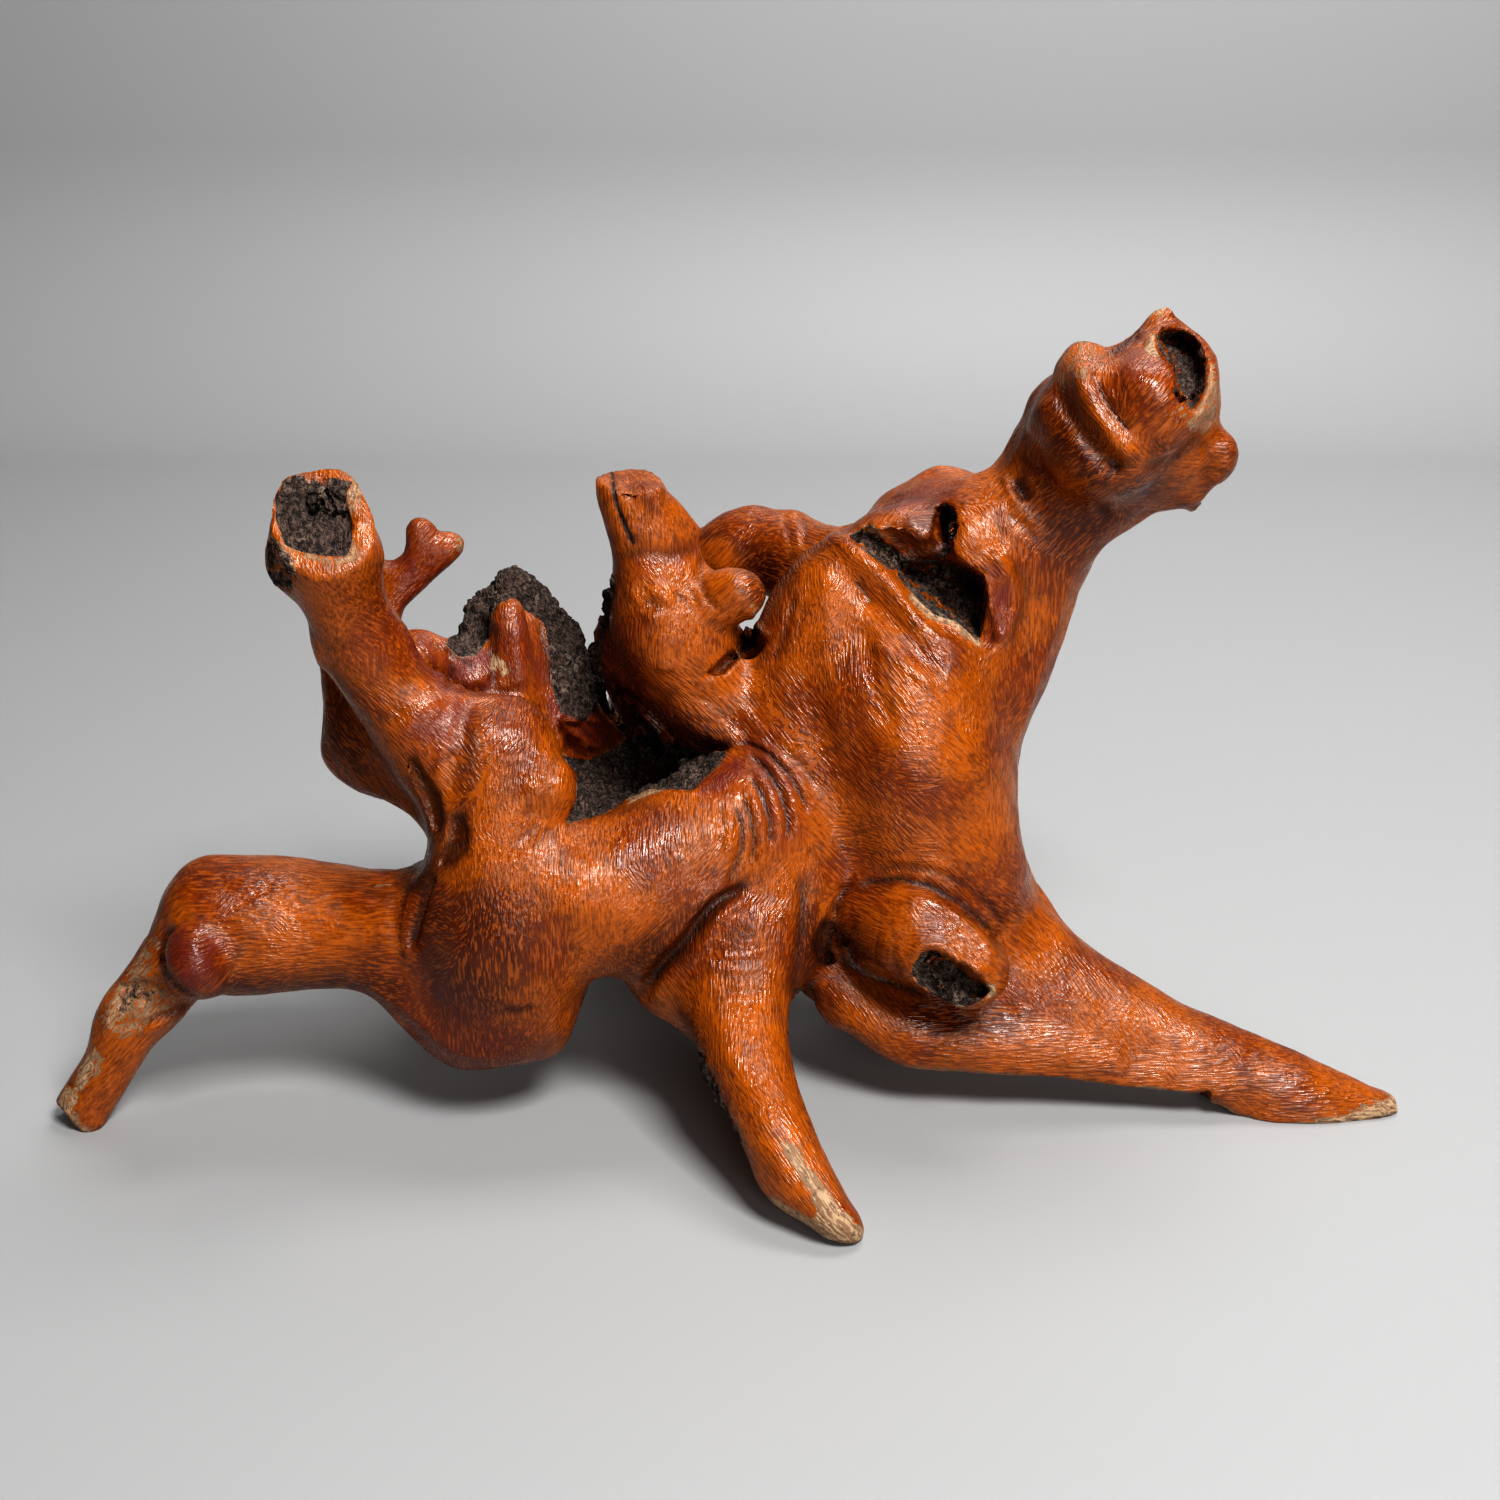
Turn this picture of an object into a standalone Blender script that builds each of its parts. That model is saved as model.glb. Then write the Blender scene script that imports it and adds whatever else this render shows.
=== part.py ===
# A dried tree root: a squat twisted crown on sawn feet, with broken limbs and rotted hollows.
# It grew as one piece, so it is one solid. Sizes in the tables are millimetres.
# X runs along the root's length, +Y away from its show side, +Z up, and the feet stand on z = 0.
import math

import bmesh
import bpy
from mathutils import Vector, noise

MM = 0.001

BODY_VOXEL = 4.0  # grid on which the thick limbs grow together
BODY_FILLET_PASSES = 26  # smoothing passes that round the wide joins between them
VOXEL = 2.6  # grid on which the branches and swellings join the body
FILLET_PASSES = 8  # smoothing passes that round the narrow joins
RING_SIDES = 24  # corners round a limb's section
RING_STEP = 0.30  # distance between sections, as a share of the limb's radius
LUMP_SIZE = 34.0  # spacing of the swellings along a limb
LUMP_HEIGHT = 0.07  # swelling, as a share of the limb's radius
SOLID_TRIANGLES = 9300  # triangles left in the solid before the hollows are cut
HOLLOW_RATIO = 0.2  # share of the hollows' triangles that is kept
CENTRE = (9.7, 14.7, 0.0)  # moves the finished root over the origin

# Each limb is a centre line of (x, y, z, radius).
BODY = {
    "trunk": [
        (64, 4, 70, 57), (66, 5, 123, 64), (70, 8, 165, 67), (85, 14, 217, 60),
        (112, 20, 258, 46), (150, 19, 288, 32), (173, 8, 322, 37), (185, 2, 340, 37),
    ],
    "flank": [(70, 6, 268, 26), (38, 2, 238, 31), (30, -6, 200, 34), (22, -18, 160, 40), (10, -25, 130, 40)],
    "belly": [(73, -14, 195, 50), (84, -24, 150, 50), (92, -26, 105, 48)],
    "rightLeg": [
        (80, -5, 88, 52), (125, -27, 54, 42), (168, -44, 37, 31), (218, -57, 24, 21), (272, -68, 12, 18),
    ],
    "skirt": [(40, -48, 56, 16), (62, -60, 38, 17), (124, -64, 30, 20), (184, -66, 20, 16), (236, -72, 8, 14)],
    "frontLeg": [(22, -20, 125, 46), (2, -58, 95, 37), (-5, -95, 68, 28), (0, -130, 46, 23)],
    "web": [(-48, -72, 66, 9), (-30, -76, 78, 20), (-6, -70, 98, 30)],
    "bulge": [(-121, -48, 182, 31), (-119, -52, 158, 37), (-119, -58, 128, 44), (-116, -62, 96, 49), (-117, -62, 64, 42)],
    "saddle": [(-110, -60, 112, 42), (-60, -60, 116, 41), (-18, -45, 133, 40), (25, -20, 145, 42)],
    "armRoot": [(-130, -50, 168, 33), (-152, -48, 192, 27), (-170, -50, 216, 21)],
    "armLobe": [(-206, -2, 214, 10), (-197, -6, 190, 22), (-182, -12, 170, 26), (-152, -22, 155, 30)],
    "leftLeg": [(-145, -50, 88, 40), (-198, -50, 90, 32), (-237, -52, 92, 35), (-264, -58, 98, 30)],
    "stubRoot": [(34, 2, 150, 42), (0, -5, 172, 33), (-24, -6, 198, 30)],
    "stubFlap": [(-30, 20, 160, 28), (-50, 22, 196, 24), (-60, 20, 222, 16)],
    "archRoot": [(48, 46, 240, 27), (10, 66, 248, 23)],
    "rearLeg": [(-34, 88, 222, 26), (-48, 110, 170, 28), (-58, 128, 112, 26), (-52, 142, 58, 22), (-36, 150, 4, 17)],
    "shoulder": [(51, 42, 242, 22), (76, 44, 266, 22), (98, 44, 276, 21), (126, 32, 276, 24)],
    "core": [(-112, 8, 100, 48), (-40, 22, 92, 48), (30, 20, 100, 58)],
    "rearSwell": [(-50, 60, 120, 44), (20, 58, 130, 50), (70, 45, 150, 48)],
    "peakRoot": [(-112, 32, 120, 40), (-112, 36, 155, 40)],
}

BRANCHES = {
    "rightFoot": [(168, -44, 36, 29), (218, -57, 24, 21), (272, -68, 11, 17), (316, -72, 3, 11)],
    "frontFoot": [(-5, -95, 68, 26), (0, -130, 46, 21), (14, -160, 27, 18), (38, -182, 8, 13)],
    "shin": [(-237, -52, 92, 33), (-264, -58, 98, 27), (-290, -68, 72, 18), (-313, -76, 38, 14), (-335, -84, 4, 13)],
    "heelBall": [(-262, -70, 90, 16), (-267, -84, 89, 17)],
    "bulgeKnob": [(-112, -60, 172, 20), (-98, -66, 172, 17)],
    "arm": [(-138, -50, 178, 28), (-160, -47, 198, 23), (-176, -50, 228, 20), (-187, -58, 260, 19), (-191, -68, 286, 21), (-194, -78, 312, 23)],
    "armBark": [(-200, -54, 262, 11), (-207, -58, 280, 13), (-207, -62, 298, 13)],
    "twig": [(-180, 10, 208, 8), (-180, 25, 220, 8), (-175, 35, 238, 9), (-164, 40, 249, 9), (-149, 42, 258, 8)],
    "twigFork": [(-170, 38, 244, 8), (-165, 40, 260, 7), (-164, 40, 267, 7)],
    "twigStump": [(-173, 35, 238, 8), (-185, 35, 250, 5)],
    "ridge": [(-172, -10, 212, 13), (-152, 6, 208, 15), (-131, 8, 193, 16)],
    "peak": [(-112, 32, 120, 40), (-112, 38, 165, 40), (-116, 44, 202, 30), (-119, 45, 234, 12)],
    "peakSide": [(-146, 28, 160, 22), (-142, 30, 195, 17), (-134, 36, 214, 10)],
    "tongue": [(-120, 2, 176, 16), (-119, 10, 205, 12), (-120, 18, 230, 9)],
    "stub": [(-24, -6, 198, 28), (-36, -6, 232, 29), (-48, -5, 268, 20), (-56, -5, 300, 16), (-57, -5, 312, 16)],
    "stubKnob": [(-20, -16, 246, 15), (-4, -20, 252, 13)],
    "stubFlapTip": [(-50, 22, 196, 22), (-60, 20, 222, 15), (-66, 14, 238, 8)],
    "arch": [(48, 46, 240, 24), (10, 66, 248, 21), (-13, 72, 246, 22), (-34, 90, 220, 25)],
    "knob": [(59, -45, 104, 26), (82, -68, 98, 26), (106, -82, 84, 20)],
    "headFront": [(168, -12, 328, 33), (184, -22, 344, 26)],
    "headCheek": [(190, 4, 322, 28), (210, 0, 322, 19), (219, -4, 321, 12)],
    "headBump": [(196, 6, 308, 20), (208, 4, 296, 12), (213, 4, 289, 6)],
    "headRidge": [(154, -4, 360, 11), (160, -26, 350, 10), (178, -38, 329, 8)],
    "headPeak": [(184, 10, 356, 22), (190, 10, 370, 13), (194, 10, 380, 5)],
}


# Rotted hollows, as the same kind of centre line.
HOLLOWS = {
    "eye": [(57, -14, 277, 8), (71, -18, 271, 13), (86, -26, 262, 17), (99, -32, 249, 16), (112, -33, 236, 10)],
    "eyeSlit": [(93, -9, 290, 4), (92, -6, 283, 6), (91, -16, 270, 7)],
    "headCavity": [(197, -6, 373, 7), (199, -22, 367, 14), (200, -36, 353, 10)],
    "knobHole": [(88, -93, 95, 5), (98, -97, 88, 9), (107, -99, 82, 6)],
    "armCup": [(-196, -78, 306, 15), (-193, -62, 293, 12)],
    "flankPit": [(3, -18, 229, 6), (-2, -11, 221, 8), (-4, -4, 210, 7)],
    "basinPocket": [(-66, 4, 182, 11), (-50, 6, 172, 15), (-36, 10, 168, 12)],
}

# Flat cuts: a point on the cut, the way the wood was taken off, and the size of the piece.
CUTS = {
    "underside": ((132, -60, 20), (-0.06, 0, -1), 190),
    "stubTop": ((-57, -5, 305), (0.12, -0.15, 1), 60),
    "armEnd": ((-196, -72, 304), (0.13, -0.78, 0.61), 90),
    "shinEnd": ((-342, -88, 6), (-0.85, -0.15, -0.5), 60),
    "ground": ((0, 0, 0), (0, 0, -1), 900),
}


def along(points, t):
    """The point and radius at t on the smooth curve through the points."""
    i = min(int(t), len(points) - 2)
    u = t - i
    p0, p1, p2, p3 = (Vector(points[max(0, min(len(points) - 1, k))]) for k in range(i - 1, i + 3))
    return 0.5 * (2 * p1 + (p2 - p0) * u + (2 * p0 - 5 * p1 + 4 * p2 - p3) * u * u + (3 * p1 - p0 - 3 * p2 + p3) * u**3)


def sections(points):
    """Centres, directions and radii along a limb, with a round end added at both ends."""
    found = []
    t, last = 0.0, len(points) - 1
    while t < last:
        here = along(points, t)
        found.append(here)
        ahead = along(points, min(last, t + 0.01))
        speed = (Vector(ahead[:3]) - Vector(here[:3])).length / 0.01
        t += max(0.02, RING_STEP * here[3] / max(speed, 1.0))
    found.append(along(points, last))
    centres = [Vector(p[:3]) for p in found]
    radii = [p[3] for p in found]
    ways = [(centres[min(i + 1, len(centres) - 1)] - centres[max(i - 1, 0)]).normalized() for i in range(len(centres))]
    caps = [math.radians(a) for a in (80, 60, 40, 20)]
    head = [(centres[0] - ways[0] * radii[0] * math.sin(a), ways[0], radii[0] * math.cos(a)) for a in caps]
    tail = [(centres[-1] + ways[-1] * radii[-1] * math.sin(a), ways[-1], radii[-1] * math.cos(a)) for a in reversed(caps)]
    return head + list(zip(centres, ways, radii)) + tail


def add_limb(shell, points):
    """Sweeps one closed limb into the bmesh."""
    rings = []
    across = None
    for centre, way, radius in sections(points):
        across = way.orthogonal() if across is None else across - across.dot(way) * way
        across.normalize()
        level = way.cross(across)
        ring = []
        for k in range(RING_SIDES):
            a = 2 * math.pi * k / RING_SIDES
            out = (across * math.cos(a) + level * math.sin(a)) * radius
            swell = 1 + LUMP_HEIGHT * noise.noise((centre + out) / LUMP_SIZE)
            ring.append(shell.verts.new((centre + out * swell) * MM))
        rings.append(ring)
    for a, b in zip(rings, rings[1:]):
        for k in range(RING_SIDES):
            n = (k + 1) % RING_SIDES
            shell.faces.new((a[k], a[n], b[n], b[k]))
    shell.faces.new(list(reversed(rings[0])))
    shell.faces.new(rings[-1])


def mesh_object(name, shell):
    bmesh.ops.recalc_face_normals(shell, faces=shell.faces)
    mesh = bpy.data.meshes.new(name)
    shell.to_mesh(mesh)
    shell.free()
    made = bpy.data.objects.new(name, mesh)
    bpy.context.scene.collection.objects.link(made)
    return made


def grow_together(limbs, voxel, passes):
    fuse = limbs.modifiers.new("GrownTogether", "REMESH")
    fuse.mode = "VOXEL"
    fuse.voxel_size = voxel * MM
    soften = limbs.modifiers.new("RoundedJoins", "SMOOTH")
    soften.factor = 0.5
    soften.iterations = passes


def settled(made):
    """The object's finished mesh. The object itself is removed."""
    mesh = bpy.data.meshes.new_from_object(made.evaluated_get(bpy.context.evaluated_depsgraph_get()))
    bpy.data.objects.remove(made)
    return mesh


def cut_away(root, cutter):
    cutter.hide_render = True
    cutter.display_type = "WIRE"
    cut = root.modifiers.new(cutter.name, "BOOLEAN")
    cut.object = cutter
    cut.operation = "DIFFERENCE"
    cut.solver = "EXACT"


def make_body():
    """The thick limbs, grown into each other with wide rounded joins."""
    shell = bmesh.new()
    for points in BODY.values():
        add_limb(shell, points)
    body = mesh_object("body", shell)
    grow_together(body, BODY_VOXEL, BODY_FILLET_PASSES)
    return settled(body)


def make_solid():
    """Body and branches as one closed shape, thinned to the number of triangles it may have."""
    shell = bmesh.new()
    shell.from_mesh(make_body())
    for points in BRANCHES.values():
        add_limb(shell, points)
    whole = mesh_object("whole", shell)
    grow_together(whole, VOXEL, FILLET_PASSES)
    mesh = settled(whole)
    root = bpy.data.objects.new("root", mesh)
    bpy.context.scene.collection.objects.link(root)
    thin = root.modifiers.new("Thinned", "DECIMATE")
    thin.ratio = SOLID_TRIANGLES / (2 * len(mesh.polygons))
    return root


def make_hollows():
    shell = bmesh.new()
    for points in HOLLOWS.values():
        add_limb(shell, points)
    hollows = mesh_object("hollows", shell)
    grow_together(hollows, VOXEL, 2)
    thin = hollows.modifiers.new("Thinned", "DECIMATE")
    thin.ratio = HOLLOW_RATIO
    return hollows


def make_cut(name, point, way, size):
    """A block of wood to take off, with one face on the cut."""
    block = bmesh.new()
    bmesh.ops.create_cube(block, size=size * MM)
    bmesh.ops.translate(block, verts=block.verts, vec=(0, 0, size * MM / 2))
    turn = Vector((0, 0, 1)).rotation_difference(Vector(way).normalized()).to_matrix()
    bmesh.ops.rotate(block, verts=block.verts, matrix=turn)
    bmesh.ops.translate(block, verts=block.verts, vec=Vector(point) * MM)
    return mesh_object(name, block)


def lacquered_wood():
    made = bpy.data.materials.new("lacquered_root_wood")
    made.use_nodes = True
    surface = made.node_tree.nodes["Principled BSDF"]
    surface.inputs["Base Color"].default_value = (0.46, 0.115, 0.02, 1)
    surface.inputs["Roughness"].default_value = 0.28
    surface.inputs["Metallic"].default_value = 0.0
    return made


def main():
    for old in list(bpy.data.objects):
        bpy.data.objects.remove(old)
    root = make_solid()
    root.data.materials.append(lacquered_wood())
    tools = [make_hollows()] + [make_cut(name, *cut) for name, cut in CUTS.items()]
    for tool in tools:
        cut_away(root, tool)
    for made in [root] + tools:
        made.location = Vector(CENTRE) * MM


main()
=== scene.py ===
# Looks of a lacquered dry tree root: glossy orange-brown skin with hair-fine grain, dark rot in its
# hollows and pale bare wood where the lacquer is chipped off.
import functools
import math

import bmesh
import bpy
import numpy as np
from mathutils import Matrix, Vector, kdtree


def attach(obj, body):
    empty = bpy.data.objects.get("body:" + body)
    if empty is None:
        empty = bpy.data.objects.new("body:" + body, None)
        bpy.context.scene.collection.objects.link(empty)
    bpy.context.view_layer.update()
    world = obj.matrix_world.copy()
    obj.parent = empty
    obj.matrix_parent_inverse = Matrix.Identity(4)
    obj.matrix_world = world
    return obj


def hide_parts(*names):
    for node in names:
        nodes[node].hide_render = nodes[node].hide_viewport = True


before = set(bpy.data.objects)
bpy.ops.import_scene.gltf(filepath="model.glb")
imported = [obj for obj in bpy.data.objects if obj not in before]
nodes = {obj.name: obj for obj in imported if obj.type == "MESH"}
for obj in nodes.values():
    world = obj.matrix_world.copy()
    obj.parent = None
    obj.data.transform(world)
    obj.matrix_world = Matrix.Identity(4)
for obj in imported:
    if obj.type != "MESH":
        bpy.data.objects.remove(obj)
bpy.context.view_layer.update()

mm = 0.001


# Camera: it stands where the photo was taken from, and the photo's pixels are read through it.

cameraSet = dict(
    place=(0.0097, -0.9653, 0.560),  # metres in the root's frame
    pitch=22.0,  # degrees down
    lens=50.4,  # mm
    sensor=36,  # mm across
    photoSize=1500,  # pixels on each side of the photo
)


def addCamera():
    data = bpy.data.cameras.new("camera")
    data.lens = cameraSet["lens"]
    data.sensor_width = cameraSet["sensor"]
    camera = bpy.data.objects.new("camera", data)
    camera.location = cameraSet["place"]
    camera.rotation_euler = (math.radians(90 - cameraSet["pitch"]), 0, 0)
    bpy.context.scene.collection.objects.link(camera)
    bpy.context.scene.camera = camera
    print("camera: added")


eye = np.array(cameraSet["place"])
half = cameraSet["photoSize"] / 2
focal = cameraSet["photoSize"] * cameraSet["lens"] / cameraSet["sensor"]  # pixels
pitch = math.radians(cameraSet["pitch"])
ahead = np.array((0, math.cos(pitch), -math.sin(pitch)))
above = np.array((0, math.sin(pitch), math.cos(pitch)))
aside = np.array((1.0, 0, 0))


def depthOf(points):
    return (points - eye) @ ahead


def toPixels(points):
    away = points - eye
    deep = depthOf(points)
    return np.stack((half + focal * (away @ aside) / deep, half - focal * (away @ above) / deep), 1)


def facingCamera(points, normals):
    # 1 where the skin faces the camera, 0 where it turns away, below 0 behind
    way = eye - points
    way /= np.linalg.norm(way, axis=1)[:, None]
    return np.sum(way * normals, axis=1)


# Mesh data in and out of numpy.


def readPoints(mesh):
    points = np.empty(len(mesh.vertices) * 3, np.float32)
    mesh.vertices.foreach_get("co", points)
    return points.reshape(-1, 3).astype(float)


def writePoints(mesh, points):
    mesh.vertices.foreach_set("co", points.astype(np.float32).ravel())
    mesh.update()


def writeAboveFloor(mesh, points):
    points[:, 2] = np.maximum(points[:, 2], 0)
    writePoints(mesh, points)


def readNormals(mesh):
    normals = np.empty(len(mesh.vertices) * 3, np.float32)
    mesh.vertex_normals.foreach_get("vector", normals)
    return normals.reshape(-1, 3).astype(float)


def writeMask(mesh, name, values):
    layer = mesh.attributes.new(name, "FLOAT", "POINT")
    layer.data.foreach_set("value", values.astype(np.float32))


def writeVectors(mesh, name, values):
    layer = mesh.attributes.new(name, "FLOAT_VECTOR", "POINT")
    layer.data.foreach_set("vector", values.astype(np.float32).ravel())


def treeOf(places):
    tree = kdtree.KDTree(len(places))
    for k, place in enumerate(places):
        tree.insert(place, k)
    tree.balance()
    return tree


def squaredGaps(points, places):
    # between each point and each place
    gap = np.sum(points ** 2, 1)[:, None] + np.sum(places ** 2, 1)[None] - 2 * points @ places.T
    return np.maximum(gap, 0)


def smoothStep(low, high, values):
    t = np.clip((values - low) / (high - low), 0, 1)
    return t * t * (3 - 2 * t)


# Seeded noise: soft lumps between -1 and 1, and the gaps between random blocks.

tableSize = 4096  # random numbers that each noise draws on, a power of two


def tableRow(index):
    # scatters the cells of space over the table; the factors are large primes
    mixed = index[:, 0] * 73856093 ^ index[:, 1] * 19349663 ^ index[:, 2] * 83492791
    return mixed & (tableSize - 1)


def lumps(points, size, seed):
    table = np.random.default_rng(seed).uniform(-1, 1, tableSize)
    cell = points / size
    base = np.floor(cell).astype(np.int64)
    t = smoothStep(0, 1, cell - base)
    total = np.zeros(len(points))
    for corner in ((a, b, c) for a in (0, 1) for b in (0, 1) for c in (0, 1)):
        total += table[tableRow(base + corner)] * np.prod(np.where(corner, t, 1 - t), axis=1)
    return total


def blocks(points, size, seed):
    jitter = np.random.default_rng(seed).uniform(0, 1, (tableSize, 3))
    cell = points / size
    base = np.floor(cell).astype(np.int64)
    first = np.full(len(points), np.inf)
    second = np.full(len(points), np.inf)
    for corner in ((a, b, c) for a in (-1, 0, 1) for b in (-1, 0, 1) for c in (-1, 0, 1)):
        index = base + corner
        gap = np.linalg.norm(index + jitter[tableRow(index)] - cell, axis=1)
        second = np.minimum(second, np.maximum(first, gap))
        first = np.minimum(first, gap)
    return second - first


def layeredLumps(points, layers):
    return sum(lumps(points, size * mm, seed) * high for size, high, seed in layers)


# Flat shapes in the photo's pixels.


def pathDistance(pixels, path, closed=False):
    # distance to the path, and how far along it that is, from 0 to 1
    corners = np.array(path + [path[0]] if closed else path, float)
    lengths = np.linalg.norm(np.diff(corners, axis=0), axis=1)
    starts = np.concatenate(([0], np.cumsum(lengths)))
    best = np.full(len(pixels), np.inf)
    along = np.zeros(len(pixels))
    for k, length in enumerate(lengths):
        way = (corners[k + 1] - corners[k]) / length
        off = pixels - corners[k]
        t = np.clip(off @ way, 0, length)
        gap = np.linalg.norm(off - t[:, None] * way, axis=1)
        near = gap < best
        best = np.where(near, gap, best)
        along = np.where(near, (starts[k] + t) / starts[-1], along)
    return best, along


def isInside(pixels, outline):
    inside = np.zeros(len(pixels), bool)
    x, y = pixels[:, 0], pixels[:, 1]
    for (x0, y0), (x1, y1) in zip(outline, outline[1:] + outline[:1]):
        if y0 != y1:
            crossing = ((y0 > y) != (y1 > y)) & (x < (x1 - x0) * (y - y0) / (y1 - y0) + x0)
            inside ^= crossing
    return inside


def insideBy(pixels, outline):
    # pixels to the outline, below 0 outside it
    gap = pathDistance(pixels, outline, True)[0]
    return np.where(isInside(pixels, outline), gap, -gap)


def nearBox(pixels, path, margin):
    low, high = np.min(path, axis=0) - margin, np.max(path, axis=0) + margin
    return np.nonzero(np.all((pixels > low) & (pixels < high), axis=1))[0]


# Root skin

rootSkin = dict(
    roughVoxel=1.8,  # mm, grid while the outline and the hollows are made
    voxel=1.35,  # mm, grid of the sculpted skin
    rimAngle=48,  # degrees between two faces from which their edge is a sharp rim
    rimStep=2,  # mm between the points that stand for a rim
    keepSharp=1.0,  # mm from a sharp rim that aren't smoothed at all
    keepNear=6.0,  # mm from a sharp rim that are smoothed less
    facetPasses=30,  # smoothing that takes the solid's facets away
    outlinePasses=[(45, 13), (14, 4)],  # how far off, in pixels, an edge may be, and mm over which it fades
    lumps=[(26, 0.7, 1), (11, 0.35, 2), (4.5, 0.10, 3)],  # mm wide, mm high, seed: the wood's unevenness
    triangles=196000,  # of the finished skin
    normalsFrom=6,  # points of the fine skin that make one normal of the finished skin
    cavityPasses=3,  # smoothing of the mask that paints shade into the hollows
)

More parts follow.
